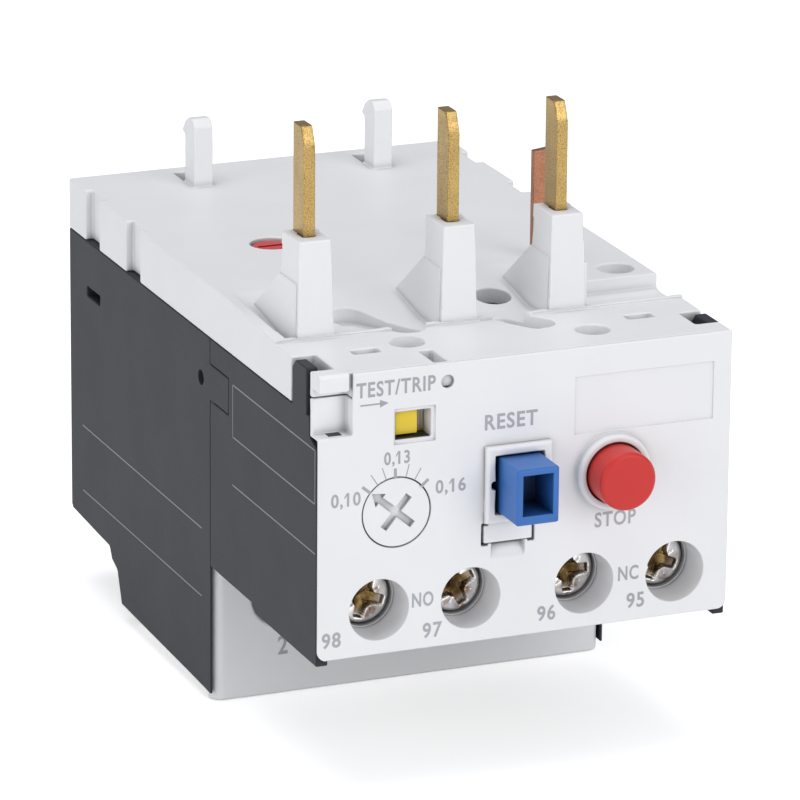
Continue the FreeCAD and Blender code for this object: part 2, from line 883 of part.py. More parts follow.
def tongue(gap):
    # The rear housing's tongue that reaches into the front housing's side wall.
    return rectangle(s.split_depth - s.tongue_reach - gap, s.split_depth,
                     s.tongue_bottom - gap, s.tongue_top + gap)


def rear_housing():
    body = new_body("rear_housing")
    raised = s.rear_bottom + s.rear_raise
    start = s.rear_raise_start
    run = s.rear_raise_run
    extrude(body, "YZ", -half, half, polygon([
        (s.split_depth, s.rear_bottom), (start, s.rear_bottom + s.foot_rise),
        (start + run * s.knee_run, raised - s.knee_drop),
        (start + run * s.shoulder_run, raised - s.shoulder_drop),
        (start + run, raised - s.toe_drop), (s.body_depth - s.rear_edge, raised),
        (s.body_depth, raised + s.rear_edge),
        (s.body_depth, s.skirt_bottom), (s.split_depth, s.skirt_bottom)]))
    cut(body, "XY", raised + s.base_thick, s.skirt_bottom,
        rectangle(-inner, inner, s.split_depth, s.body_depth - s.wall))
    cut(body, "XY", s.rear_bottom, raised + s.base_thick,
        rectangle(-inner, inner, s.split_depth, s.foot_end))
    seat = half - s.cover_inset + s.pin_gap
    cut(body, "XY", s.rear_bottom, s.front_bottom + s.front_step,
        rectangle(-seat, seat, s.split_depth, s.split_depth + s.roof + s.fit_gap))
    for low, high in ((-half, -inner), (inner, half)):
        extrude(body, "YZ", low, high, polygon([
            (s.split_depth - s.tongue_reach, s.tongue_bottom),
            (s.split_depth + s.root, s.tongue_bottom), (s.split_depth + s.root, s.tongue_top),
            (s.split_depth - s.tongue_reach, s.tongue_top)]))
        cut(body, "YZ", low, high, rectangle(
            s.side_slot_start, s.side_slot_start + s.side_slot_length,
            s.side_slot_bottom, s.side_slot_bottom + s.side_slot_height))
        cut(body, "YZ", low, high, circle(s.side_hole_depth, s.side_hole_up, s.side_hole_radius))
    for side in (-1, 1):
        middle = side * s.pole_pitch / 2
        extrude(body, "YZ", middle - s.partition_thick / 2, middle + s.partition_thick / 2,
                rectangle(s.split_depth + s.partition_start, s.body_depth - s.wall / 2,
                          raised + s.base_thick / 2, s.partition_top))
        extrude(body, "YZ", middle - s.partition_thick / 2, middle + s.partition_thick / 2,
                rectangle(s.split_depth + s.partition_start, s.foot_end + s.root,
                          s.rear_bottom + s.base_thick, raised + s.base_thick))


def terminal_cover():
    body = new_body("terminal_cover")
    top = s.front_bottom + s.front_step - s.fit_gap
    back = s.split_depth + s.roof
    side = half - s.cover_inset
    extrude(body, "XZ", s.split_depth, back, rectangle(-side, side, 0, top))
    soften(body, s.cover_corner, lambda edge: upright(edge)
           and near(edge_box(edge).YMin, s.split_depth))
    bottom_half = inner - s.fit_gap
    bottom_top = s.rear_bottom + s.cover_lap
    extrude(body, "XY", 0, bottom_top,
            rectangle(-bottom_half, bottom_half, back - s.root, s.foot_end - s.fit_gap))
    for across in poles.values():
        cut(body, "XZ", s.split_depth, back, circle(across, s.load_up, s.load_hole_radius))
        cut(body, "XY", 0, bottom_top,
            rectangle(across - s.load_wire_width / 2, across + s.load_wire_width / 2,
                      s.load_wire_start, s.load_wire_start + s.load_wire_length))


# The roof of the cover steps up behind the bosses, and the side walls reach down to the shell.

def top_cover():
    body = new_body("top_cover")
    front = s.panel_skin + s.fit_gap
    deck_under = s.deck_height - s.deck_roof
    roof_under = s.cover_height - s.roof
    wall_top = roof_under + s.cover_lap
    rail_back = s.deck_length + s.rail_thick
    extrude(body, "YZ", -half, half, polygon([
        (front, deck_under), (s.block_front, deck_under), (s.ramp_end, roof_under),
        (s.body_depth, roof_under), (s.body_depth, s.cover_height), (s.ramp_end, s.cover_height),
        (s.block_front - s.pocket_rise, s.pocket_floor), (rail_back, s.pocket_floor),
        (rail_back, s.deck_height + s.rail_rise), (s.deck_length, s.deck_height + s.rail_rise),
        (s.deck_length, s.deck_height), (front, s.deck_height)]))
    extrude(body, "YZ", s.block_left, half, polygon([
        (s.block_front, s.pocket_floor - s.root), (s.ramp_end, wall_top),
        (s.ramp_end, s.cover_height), (s.block_front, s.cover_height)]))
    extrude(body, "YZ", -half, -inner, polygon([
        (s.deck_length, s.pocket_floor - s.root), (s.ramp_end, s.pocket_floor - s.root),
        (s.ramp_end, s.cover_height), (s.deck_length, s.deck_height + s.rail_rise)]))
    for low, high in ((-half, -inner), (inner, half)):
        extrude(body, "YZ", low, high, polygon([
            (s.skirt_front, s.skirt_bottom), (s.body_depth, s.skirt_bottom),
            (s.body_depth, wall_top), (s.ramp_end, wall_top),
            (s.block_front, deck_under + s.cover_lap),
            (s.skirt_front, deck_under + s.cover_lap)]))
    extrude(body, "XZ", s.body_depth - s.wall, s.body_depth,
            rectangle(-half, half, s.skirt_bottom, wall_top))
    lip_out = inner - s.fit_gap
    for low, high in ((-lip_out, s.lip_thick - lip_out), (lip_out - s.lip_thick, lip_out)):
        for start in (s.split_depth + s.lip_thick, s.foot_end + s.lip_thick):
            extrude(body, "YZ", low, high,
                    rectangle(start, start + s.lip_length, s.skirt_bottom - s.lip_drop, wall_top))
    add_bosses(body)
    add_hooks(body)
    nose_right = s.corner_recess_width - half - s.nose_side_gap
    nose_high = s.deck_height + s.nose_top
    nose_back = front + s.nose_root
    extrude(body, "YZ", -half, nose_right, polygon([
        (-s.nose_rise, s.nose_bottom), (nose_back, s.nose_bottom), (nose_back, nose_high),
        (s.nose_bevel - s.nose_rise, nose_high), (-s.nose_rise, nose_high - s.nose_bevel)]))
    cut_cover(body, front, deck_under)
    add_calibration_tube(body, roof_under)


def add_bosses(body):
    for across in pin_sides.values():
        middle = across + s.pin_thick / 2
        left = middle - s.boss_half_width
        right = middle + s.boss_half_width
        extrude(body, "XY", s.pocket_floor - s.bite, s.boss_top,
                rectangle(left, right, s.boss_front, s.boss_front + s.boss_depth),
                taper=s.boss_taper)
        wing_front = s.boss_front + s.root
        extrude(body, "YZ", left, right - s.bite, polygon([
            (wing_front, s.pocket_floor - s.gusset_foot),
            (s.gusset_end, s.pocket_floor - s.gusset_foot),
            (s.gusset_end, s.pocket_floor + s.gusset_rise),
            (s.boss_front + s.boss_depth, s.gusset_top), (wing_front, s.gusset_top)]))
    step = s.pin_right + s.pin_thick / 2 + s.boss_half_width
    extrude(body, "XY", s.pocket_floor - s.bite, s.boss_step_top,
            rectangle(step - s.boss_step_wide, step + s.boss_step,
                      s.boss_front + s.boss_step_back, s.boss_front + s.boss_depth))


def add_hooks(body):
    roof = s.cover_height - s.root
    back = s.hook_front + s.hook_thick
    top = s.hook_top
    for left in (s.hook_left, s.hook_right):
        extrude(body, "YZ", left, left + s.hook_width, polygon([
            (s.hook_front, roof), (back, roof), (back, top - s.hook_nose_bottom),
            (back + s.hook_nose, top - s.hook_nose_low), (back, top - s.hook_nose_high),
            (back - s.hook_back_bevel, top - s.bite), (s.hook_front + s.hook_front_bevel, top),
            (s.hook_front, top - s.hook_front_bevel)]))


def cut_cover(body, front, deck_under):
    recess_right = s.corner_recess_width - half
    for across in pin_sides.values():
        cut(body, "XY", deck_under, s.boss_top, rectangle(
            across - s.seat_gap, across + s.pin_thick + s.seat_gap,
            s.pin_front - s.seat_gap, s.pin_front + s.pin_width + s.seat_gap))
    for left in (s.hook_left, s.hook_right):
        start = s.hook_front + s.hook_thick
        cut(body, "XY", s.cover_height - s.roof, s.cover_height,
            rectangle(left, left + s.hook_width, start, start + s.hook_slot))
    gap = s.fit_gap
    cut(body, "XY", deck_under, s.cover_height, rectangle(
        s.coil_blade_left - gap, s.coil_blade_left + s.coil_blade_width + gap,
        s.coil_blade_front - gap, s.coil_blade_front + s.coil_blade_thick + gap))
    corner = half - s.corner_notch_wide
    notch_front = s.panel_depth + gap
    for left, right, start in ((-half, -corner, notch_front),
                               (corner, half, notch_front + s.corner_strip)):
        cut(body, "XY", deck_under, s.deck_height, rectangle(left, right, start, s.skirt_front))
    cut(body, "XZ", front, s.corner_recess_depth,
        rectangle(-half, recess_right, deck_under, s.nose_bottom))
    deep = s.deck_height - s.recess_depth
    cut(body, "XY", deep, s.cover_height, slot(
        (s.left_pocket_rear_across, s.left_pocket_rear),
        (s.left_pocket_front_across, s.left_pocket_front), s.left_pocket_radius))
    cut(body, "XY", deep, s.cover_height, slot(
        (s.right_pocket_rear_across, s.right_pocket_rear),
        (s.right_pocket_front_across, s.right_pocket_front), s.right_pocket_radius))
    cut(body, "XY", deck_under, s.cover_height,
        circle(s.slope_hole_across, s.slope_hole_depth, s.rear_hole_radius))
    cut(body, "XY", s.cover_height - s.recess_depth, s.cover_height,
        circle(s.block_hole_across, s.block_hole_depth, s.rear_hole_radius))
    for across, depth in ((s.left_deck_hole_across, s.left_deck_hole_depth),
                          (s.right_deck_hole_across, s.right_deck_hole_depth)):
        cut(body, "XY", deep, s.deck_height, circle(across, depth, s.deck_hole_radius))
    for left, depth in ((s.left_mark_across, s.left_mark_depth),
                        (s.right_mark_across, s.right_mark_depth)):
        cut(body, "XY", s.deck_height - s.mark_deep, s.deck_height,
            rectangle(left, left + s.mark_length, depth, depth + s.mark_width))
    cut(body, "XY", deep, s.deck_height, rectangle(
        s.deck_slot_left, s.deck_slot_right, s.deck_slot_front, s.deck_slot_back))
    for left, right in ((-half, s.side_notch_deep - half), (half - s.side_notch_deep, half)):
        for depth in (s.first_notch_depth, s.second_notch_depth):
            cut(body, "XY", s.skirt_bottom, s.cover_height,
                rectangle(left, right, depth, depth + s.side_notch_length))


def add_calibration_tube(body, roof_under):
    place = (s.calibration_across, s.calibration_depth)
    seat = s.calibration_head_top - s.calibration_head_thick
    extrude(body, "XY", s.calibration_tube_bottom, roof_under + s.cover_lap,
            circle(*place, s.calibration_tube_radius))
    cut(body, "XY", seat, s.cover_height, circle(*place, s.calibration_well_radius))
    cut(body, "XY", s.calibration_tube_bottom, seat,
        circle(*place, s.calibration_shank_radius + s.seat_gap))


def calibration_screw():
    body = new_body("calibration_screw")
    place = (s.calibration_across, s.calibration_depth)
    seat = s.calibration_head_top - s.calibration_head_thick
    extrude(body, "XY", seat, s.calibration_head_top, circle(*place, s.calibration_head_radius))
    soften(body, s.calibration_head_thick / 4, lambda edge: near(edge_box(edge).ZMin,
           s.calibration_head_top) and near(edge_box(edge).ZMax, s.calibration_head_top))
    extrude(body, "XY", s.calibration_tube_bottom - s.calibration_slot_deep, seat,
            circle(*place, s.calibration_shank_radius))
    across, depth = place
    reach = s.calibration_slot / 2
    side = s.calibration_slot_width / 2
    cut(body, "XY", s.calibration_head_top - s.calibration_slot_deep, s.calibration_head_top,
        rectangle(across - reach, across + reach, depth - side, depth + side))


# Controls on the front panel

def setting_dial():
    body = new_body("setting_dial")
    place = (s.dial_across, s.dial_up)
    flange_back = s.panel_depth + s.fit_gap + s.dial_flange_thick
    extrude(body, "XZ", s.fit_gap, s.panel_depth + s.fit_gap, circle(*place, s.dial_radius))
    extrude(body, "XZ", s.panel_depth + s.fit_gap, flange_back,
            circle(*place, s.dial_radius + s.dial_flange))
    extrude(body, "XZ", flange_back, plate_back, circle(*place, s.dial_shaft_radius))
    turned = s.dial_turned.number
    turn = math.radians(turned)
    offset = s.cam_offset
    cam = (s.dial_across - offset * round(math.sin(turn), 4),
           s.dial_up + offset * round(math.cos(turn), 4))
    extrude(body, "XZ", s.cam_start, s.cam_start + s.cam_thick, circle(*cam, s.cam_radius))
    face_back = s.fit_gap + s.dial_slot_depth
    for angle, reach in ((90 + turned, s.dial_slot_long), (turned, s.dial_slot_short)):
        cut(body, "XZ", s.fit_gap, face_back, bar(place, angle, reach / 2, s.dial_slot_width / 2))
    cut(body, "XZ", s.fit_gap, face_back, arrow_head(place, 90 + turned, s.dial_slot_long / 2))


def bar(place, angle, reach, side):
    # A centred bar whose length points at the angle, counted from X towards Z.
    across, up = place
    c = round(math.cos(math.radians(angle)), 5)
    d = round(math.sin(math.radians(angle)), 5)
    corners = []
    for a, b in ((-1, -1), (1, -1), (1, 1), (-1, 1)):
        corners.append((across + reach * (a * c) - side * (b * d),
                        up + reach * (a * d) + side * (b * c)))
    return polygon(corners)


def arrow_head(place, angle, reach):
    across, up = place
    c = round(math.cos(math.radians(angle)), 5)
    d = round(math.sin(math.radians(angle)), 5)
    corners = []
    for along, side in ((s.arrow_back, -s.arrow_side), (s.arrow_tip, as_size(0)),
                        (s.arrow_back, s.arrow_side)):
        corners.append((across + (reach + along) * c - side * d,
                        up + (reach + along) * d + side * c))
    return polygon(corners)


def reset_button():
    body = new_body("reset_button")
    across, up = s.reset_across, s.reset_up
    wide = s.reset_width / 2
    high = s.reset_height / 2
    flange_front = s.bezel_guide + s.fit_gap
    extrude(body, "XZ", -s.reset_reach, flange_front,
            rectangle(across - wide, across + wide, up - high, up + high))
    soften(body, s.reset_edge, lambda edge: edge_box(edge).XLength < 0.01
           and edge_box(edge).ZLength < 0.01)
    soften(body, s.reset_edge, lambda edge: on_depth(edge, -s.reset_reach))
    flange_back = flange_front + s.flange_thick
    extrude(body, "XZ", flange_front, flange_back,
            rectangle(across - wide - s.reset_flange, across + wide + s.reset_flange,
                      up - high + s.reset_flange_drop, up + high - s.reset_flange_drop))
    extrude(body, "XZ", flange_back, s.reset_stem_end, circle(across, up, s.button_stem_radius))
    cut(body, "XZ", -s.reset_reach, s.reset_hollow - s.reset_reach,
        rectangle(across - wide + s.reset_wall, across + wide - s.reset_wall,
                  up - high + s.reset_wall + s.reset_floor, up + high - s.reset_wall))


def stop_button():
    body = new_body("stop_button")
    place = (s.stop_across, s.stop_up)
    flange_front = s.panel_depth + s.run_gap
    flange_back = flange_front + s.flange_thick
    extrude(body, "XZ", -s.stop_reach, flange_front, circle(*place, s.stop_radius))
    soften(body, s.stop_edge, lambda edge: on_depth(edge, -s.stop_reach))
    extrude(body, "XZ", flange_front, flange_back,
            circle(*place, s.stop_radius + s.stop_flange))
    extrude(body, "XZ", flange_back, s.stop_stem_end, circle(*place, s.button_stem_radius))


def coil_spring(label, across, up, start, end, radius):
    # A round wire wound about a line along Y, standing between the start and end depths.
    body = new_body(label)
    sketch = place_sketch(body, "YZ", across, [circle(start + s.spring_wire / 2, radius,
                                                      s.spring_wire / 2)])
    sketch.setExpression(".AttachmentOffset.Base.y", up.text)
    doc.recompute()
    coil = body.newObject("PartDesign::AdditiveHelix", f"{label}_coil")
    coil.Profile = sketch
    coil.ReferenceAxis = (sketch, ["H_Axis"])
    coil.Mode = 0
    rise = end - start - s.spring_wire
    coil.setExpression("Height", rise.text)
    coil.setExpression("Pitch", (rise / s.spring_turns).text)
    body.Tip = coil


def springs():
    start = s.bezel_guide + s.fit_gap + s.flange_thick
    coil_spring("reset_spring", s.reset_across, s.reset_up, start, s.plate_front,
                s.reset_spring_radius)
    start = s.panel_depth + s.run_gap + s.flange_thick
    coil_spring("stop_spring", s.stop_across, s.stop_up, start, s.plate_front,
                s.stop_spring_radius)


def trip_flag():
    body = new_body("trip_flag")
    left = s.flag_left
    right = left + s.flag_width
    low = s.window_bottom + s.flag_drop
    high = low + s.flag_height
    plate_front = s.panel_depth + s.flag_seat
    plate_rear = plate_front + s.flag_plate
    extrude(body, "XZ", s.flag_face, plate_front, rectangle(left, right, low, high))
    extrude(body, "XZ", plate_front, plate_rear, rectangle(
        left - s.flag_lap, right + s.flag_lap, low - s.flag_plate_low, high + s.flag_plate_high))
    middle = (left + right) / 2
    inside = s.lever_tip_width / 2 + s.prong_gap
    for start in (middle - inside - s.flag_prong, middle + inside):
        extrude(body, "XZ", plate_rear, plate_rear + s.flag_prong_reach,
                rectangle(start, start + s.flag_prong, s.lever_bottom - s.prong_rise,
                          s.lever_bottom + s.lever_thick + s.prong_rise))


# Mechanism: a plate behind the terminals carries the levers, the dial shaft and the contacts.

def mechanism_plate():
    body = new_body("mechanism_plate")
    side = inner - s.fit_gap
    extrude(body, "XZ", s.plate_front, plate_back,
            rectangle(-side, side, front_floor_top, s.skirt_bottom + s.plate_rise))
    pivot = (s.pivot_across, s.pivot_depth)
    extrude(body, "XY", s.shelf_bottom, s.shelf_bottom + s.shelf_thick,
            rectangle(s.pivot_across - s.shelf_side, s.pivot_across + s.shelf_side,
                      plate_back - s.bite, s.pivot_depth + s.shelf_end))
    for start in lug_places():
        extrude(body, "YZ", start, start + s.lug_thick, rectangle(
            plate_back - s.bite, s.reset_lever_depth + s.lug_reach,
            s.reset_lever_up - s.lug_reach, s.reset_lever_up + s.lug_reach))
    for across in s.guide_left, s.guide_right:
        extrude(body, "XZ", plate_back - s.bite, s.carrier_front + s.guide_reach,
                circle(across, guide_up, s.guide_radius))
    cut(body, "XY", s.shelf_bottom, s.shelf_bottom + s.shelf_thick,
        circle(*pivot, s.pivot_radius + s.seat_gap))
    for start in lug_places():
        cut(body, "YZ", start, start + s.lug_thick, circle(
            s.reset_lever_depth, s.reset_lever_up, s.reset_pin_radius + s.seat_gap))
    through = ((s.dial_across, s.dial_up, s.dial_shaft_radius + s.pin_gap),
               (s.reset_across, s.reset_up, s.button_stem_radius + s.pin_gap),
               (s.stop_across, s.stop_up, s.button_stem_radius + s.pin_gap),
               (s.arm_pivot_across, s.arm_pivot_up, s.arm_pivot_radius + s.seat_gap))
    for across, up, radius in through:
        cut(body, "XZ", s.plate_front, plate_back, circle(across, up, radius))
    arm = s.aux_arm_width / 2 + s.seat_gap
    for across in aux_places.values():
        cut(body, "XZ", s.plate_front, plate_back,
            rectangle(across - arm, across + arm,
                      s.aux_plate_top - s.aux_arm_thick - s.seat_gap,
                      s.aux_plate_top + s.seat_gap))
    cut(body, "XZ", s.plate_front, plate_back,
        rectangle(s.pivot_across - s.lever_way_left, s.pivot_across + s.lever_way_right,
                  s.lever_bottom - s.lever_way_rise,
                  s.lever_bottom + s.lever_thick + s.lever_way_rise))


guide_up = s.carrier_bottom + s.carrier_height / 2


def lug_places():
    # The two lugs that hold the reset lever's pin stand beside the lever.
    side = s.reset_lever_width / 2 + s.fit_gap
    return s.reset_across - side - s.lug_thick, s.reset_across + side


def pins():
    body = new_body("trip_lever_pin")
    extrude(body, "XY", s.shelf_bottom, s.lever_bottom + s.lever_thick + s.pin_rise,
            circle(s.pivot_across, s.pivot_depth, s.pivot_radius))
    body = new_body("reset_lever_pin")
    low, high = lug_places()
    extrude(body, "YZ", low, high + s.lug_thick,
            circle(s.reset_lever_depth, s.reset_lever_up, s.reset_pin_radius))
    body = new_body("setting_arm_pin")
    extrude(body, "XZ", s.cam_start - s.arm_pin_front, plate_back,
            circle(s.arm_pivot_across, s.arm_pivot_up, s.arm_pivot_radius))


def setting_arm():
    body = new_body("setting_arm")
    front = s.cam_start + s.arm_front
    back = front + s.cam_thick - s.arm_thin
    across, up = s.arm_pivot_across, s.arm_pivot_up
    edge = s.dial_across + s.cam_radius - s.cam_offset * s.cam_lean + s.cam_gap
    extrude(body, "XZ", front, back, circle(across, up, s.arm_pivot_radius + s.arm_hub_wall))
    extrude(body, "XZ", front, back, polygon([
        (edge, s.arm_bottom), (edge + s.arm_width, s.arm_bottom), (across + s.arm_hub_right, up),
        (across - s.arm_hub_left, up), (edge, up - s.arm_shoulder)]))
    cut(body, "XZ", front, back, circle(across, up, s.arm_pivot_radius + s.pin_gap))


def trip_lever():
    body = new_body("trip_lever")
    pivot = (s.pivot_across, s.pivot_depth)
    low = s.lever_bottom
    high = low + s.lever_thick
    hub_low = s.shelf_bottom + s.shelf_thick + s.seat_gap
    extrude(body, "XY", hub_low, high + s.hub_rise, circle(*pivot, s.hub_radius))
    tip = s.flag_left + s.flag_width / 2
    side = s.lever_tip_width / 2
    extrude(body, "XY", low, high, polygon([
        (tip - side, s.lever_tip_front), (tip + side, s.lever_tip_front),
        (tip + side, s.lever_tip_front + s.lever_neck),
        (s.pivot_across + s.lever_root, s.pivot_depth),
        (s.pivot_across - s.lever_root, s.pivot_depth),
        (tip - side, s.lever_tip_front + s.lever_neck)]))
    hub_high = high + s.hub_rise
    extrude(body, "XY", hub_low + s.strip_lift, hub_high, rectangle(
        s.pivot_across - s.strip_lug_side, s.pivot_across + s.strip_lug_side,
        s.pivot_depth + s.strip_lug_start, s.strip_start + s.strip_lug_end))
    cut(body, "XY", hub_low, hub_high, circle(*pivot, s.pivot_radius + s.pin_gap))
    strip_half = s.strip_thick / 2 + s.seat_gap
    cut(body, "XY", hub_low, hub_high, rectangle(
        s.pivot_across - strip_half, s.pivot_across + strip_half,
        s.strip_start + s.strip_lift, s.strip_start + s.strip_slot_end))


def compensation_strip():
    body = new_body("compensation_strip")
    low = s.shelf_bottom + s.shelf_thick + s.strip_lift
    extrude(body, "XY", low, s.lever_bottom + s.lever_thick + s.strip_rise, rectangle(
        s.pivot_across - s.strip_thick / 2, s.pivot_across + s.strip_thick / 2,
        s.strip_start + s.strip_lift, s.strip_end))


def reset_lever():
    body = new_body("reset_lever")
    left = s.reset_across - s.reset_lever_width / 2
    right = left + s.reset_lever_width
    place = (s.reset_lever_depth, s.reset_lever_up)
    extrude(body, "YZ", left, right, circle(*place, s.reset_lever_hub))
    extrude(body, "YZ", left, right, rectangle(
        s.reset_lever_depth - s.reset_lever_hub, s.reset_lever_depth,
        s.reset_lever_up, s.reset_lever_top))
    soften(body, s.reset_edge * 2, lambda edge: edge_box(edge).YLength < 0.01
           and near(edge_box(edge).ZMin, s.reset_lever_top)
           and near(edge_box(edge).ZMax, s.reset_lever_top))
    cut(body, "YZ", left, right, circle(*place, s.reset_pin_radius + s.pin_gap))


def contact_carrier():
    body = new_body("contact_carrier")
    low = s.carrier_bottom
    high = low + s.carrier_height
    back = s.carrier_front + s.carrier_thick
    extrude(body, "XZ", s.carrier_front, back,
            rectangle(s.no_finger_across - s.carrier_left, s.nc_finger_across + s.carrier_right,
                      low, high))
    for across, gap in ((s.no_finger_across, s.no_finger_gap), (s.nc_finger_across, s.nc_finger_gap)):
        extrude(body, "XZ", s.carrier_front, s.moving_blade_front - gap,
                rectangle(across - s.finger_width / 2, across + s.finger_width / 2,
                          s.blade_bottom + s.finger_up, low + s.root))
    for across in s.guide_left, s.guide_right:
        cut(body, "XZ", s.carrier_front, back,
            circle(across, guide_up, s.guide_radius + s.pin_gap))


def snap_spring():
    # A thin strip, bowed away from the carrier between the two guides.
    body = new_body("snap_spring")
    back = s.carrier_front + s.carrier_thick
    left = s.guide_left + s.snap_stand
    right = s.guide_right - s.snap_stand
    middle = (left + right) / 2
    bow = s.snap_bow
    thick = s.blade_thick
    foot = s.snap_foot
    inside = s.snap_foot - s.snap_bend
    outside = s.snap_foot + s.snap_bend
    extrude(body, "XY", guide_up - s.snap_half_height, guide_up + s.snap_half_height, polygon([
        (left, back), (left + foot, back), (middle - foot, back + bow),
        (middle + foot, back + bow), (right - foot, back), (right, back),
        (right, back + thick), (right - inside, back + thick),
        (middle + outside, back + bow + thick), (middle - outside, back + bow + thick),
        (left + inside, back + thick), (left, back + thick)]))


# Auxiliary contacts and their terminals

def aux_terminals():
    tabs = {"98": (s.moving_blade_front + s.no_tab_back, "front"),
            "97": (s.moving_blade_front - s.blade_seat, None),
            "96": (s.carrier_front + s.nc_tab_back, "rear"),
            "95": (s.moving_blade_front - s.blade_seat, None)}
    middle = s.blade_bottom + s.blade_height / 2
    for name, across in aux_places.items():
        tab_front, contact = tabs[name]
        body = new_body(f"aux_terminal_{name}")
        plate_rear = aux_plate_front + s.aux_plate_thick
        half_plate = s.aux_plate_width / 2
        half_arm = s.aux_arm_width / 2
        tab_back = tab_front + s.aux_arm_thick
        extrude(body, "XZ", aux_plate_front, plate_rear,
                rectangle(across - half_plate, across + half_plate, s.aux_plate_bottom,
                          s.aux_plate_top))
        extrude(body, "XY", s.aux_plate_top - s.aux_arm_thick, s.aux_plate_top,
                rectangle(across - half_arm, across + half_arm, plate_rear - s.bite, tab_back))
        extrude(body, "XZ", tab_front, tab_back,
                rectangle(across - half_arm, across + half_arm,
                          s.aux_plate_top - s.aux_arm_thick, s.aux_tab_top))
        if contact == "front":
            extrude(body, "XZ", tab_front - s.contact_thick, tab_front,
                    circle(across, middle, s.contact_radius))
        if contact == "rear":
            extrude(body, "XZ", tab_back,
                    s.moving_blade_front - s.contact_thick - s.contact_gap,
                    circle(across, middle, s.contact_radius))
        cut(body, "XZ", aux_plate_front, plate_rear,
            circle(across, s.aux_up, s.aux_shank_radius + s.seat_gap))


def moving_contacts():
    middle = s.blade_bottom + s.blade_height / 2
    front = s.moving_blade_front
    back = front + s.blade_thick
    body = new_body("no_contact_blade")
    extrude(body, "XZ", front, back, rectangle(
        s.aux_98 - s.blade_reach, s.aux_97 + s.blade_reach - s.blade_end,
        s.blade_bottom, s.blade_bottom + s.blade_height))
    extrude(body, "XZ", back, back + s.contact_thick, circle(s.aux_98, middle, s.contact_radius))
    body = new_body("nc_contact_blade")
    extrude(body, "XZ", front, back, rectangle(
        s.aux_96 - s.blade_reach, s.aux_95 + s.blade_reach - s.blade_end,
        s.blade_bottom, s.blade_bottom + s.blade_height))
    extrude(body, "XZ", front, back, rectangle(
        s.stop_across - s.stop_lug_side, s.stop_across + s.stop_lug_side,
        s.blade_bottom + s.blade_height - s.stop_lug_lap, s.stop_up + s.stop_lug_top))
    extrude(body, "XZ", front - s.contact_thick, front,
            circle(s.aux_96, middle, s.contact_radius))


def aux_clamps():
    body = new_body("aux_clamps")
    front = s.aux_head_face + s.aux_head_thick
    reach = s.aux_clamp_side / 2
    outlines = []
    for across in aux_places.values():
        outlines.append(rectangle(across - reach, across + reach, s.aux_up - reach,
                                  s.aux_up + reach))
        outlines.append(circle(across, s.aux_up, s.aux_shank_radius + s.pin_gap))
    extrude(body, "XZ", front, aux_plate_front, *outlines)


def aux_screws():
    body = new_body("aux_screws")
    front = s.aux_head_face
    seat = front + s.aux_head_thick
    places = [(across, s.aux_up) for across in aux_places.values()]
    screw_group(body, places, front, seat, s.aux_shank_end, s.aux_head_radius,
                s.aux_shank_radius, s.aux_drive)


def screw_group(body, places, front, seat, end, head, shank, drive):
    extrude(body, "XZ", front, seat, *[circle(*place, head) for place in places])
    soften(body, s.screw_edge, lambda edge: on_depth(edge, front))
    extrude(body, "XZ", seat, end, *[circle(*place, shank) for place in places])
    side = s.drive_width / 2
    back = front + s.drive_deep
    for across, up in places:
        cut(body, "XZ", front, back, rectangle(across - drive, across + drive,
                                               up - side, up + side))
        cut(body, "XZ", front, back, rectangle(across - side, across + side,
                                               up - drive, up + drive))


# Heaters, slides and the differential lever

def heaters():
    for name, across in poles.items():
        middle = s.bimetal_start + s.bimetal_width / 2
        wide = s.bimetal_thick / 2
        deep = s.bimetal_width / 2
        foot = s.load_shelf_top + s.fit_gap
        body = new_body(f"bimetal_strip_{name}")
        extrude(body, "XY", foot, s.bimetal_top, ring_outline(across, middle, wide, deep))
        body = new_body(f"heater_sleeve_{name}")
        wide = wide + s.sleeve_gap
        deep = deep + s.sleeve_gap
        extrude(body, "XY", s.sleeve_bottom, s.sleeve_bottom + s.sleeve_height,
                ring_outline(across, middle, wide + s.sleeve_wall, deep + s.sleeve_wall),
                ring_outline(across, middle, wide, deep))
        wide = wide + s.sleeve_wall + s.seat_gap
        deep = deep + s.sleeve_wall + s.seat_gap
        heater_coil(name, across, middle, wide, deep)


def ring_outline(across, depth, wide, deep):
    return rectangle(across - wide, across + wide, depth - deep, depth + deep)


def heater_coil(name, across, middle, wide, deep):
    body = new_body(f"heater_coil_{name}")
    wire = s.coil_wire
    extrude(body, "XY", s.coil_bottom, s.coil_bottom + wire,
            ring_outline(across, middle, wide + wire, deep + wire),
            ring_outline(across, middle, wide, deep))
    turns = body.newObject("PartDesign::LinearPattern", f"{body.Name}_turns")
    turns.Originals = [body.Tip]
    up_axis = [feature for feature in body.Origin.OriginFeatures if feature.Role == "Z_Axis"][0]
    turns.Direction = (up_axis, [""])
    turns.setExpression("Length", (s.coil_pitch * (s.coil_turns - 1)).text)
    turns.setExpression("Occurrences", s.coil_turns.text)
    body.Tip = turns
    doc.recompute()
    back = middle + deep + wire
    top = s.coil_bottom + s.coil_pitch * (s.coil_turns - 1) + wire
    extrude(body, "XY", s.load_shelf_top + s.fit_gap, top,
            rectangle(across - s.coil_bar_side, across + s.coil_bar_side, back - s.bite,
                      back + s.coil_bar_thick))
    lug_low = s.lug_bottom + s.coil_lug_thick
    extrude(body, "XY", lug_low, lug_low + s.coil_lug_thick,
            rectangle(across - s.coil_lug_side, across + s.coil_lug_side, back,
                      s.lug_front - s.fit_gap))


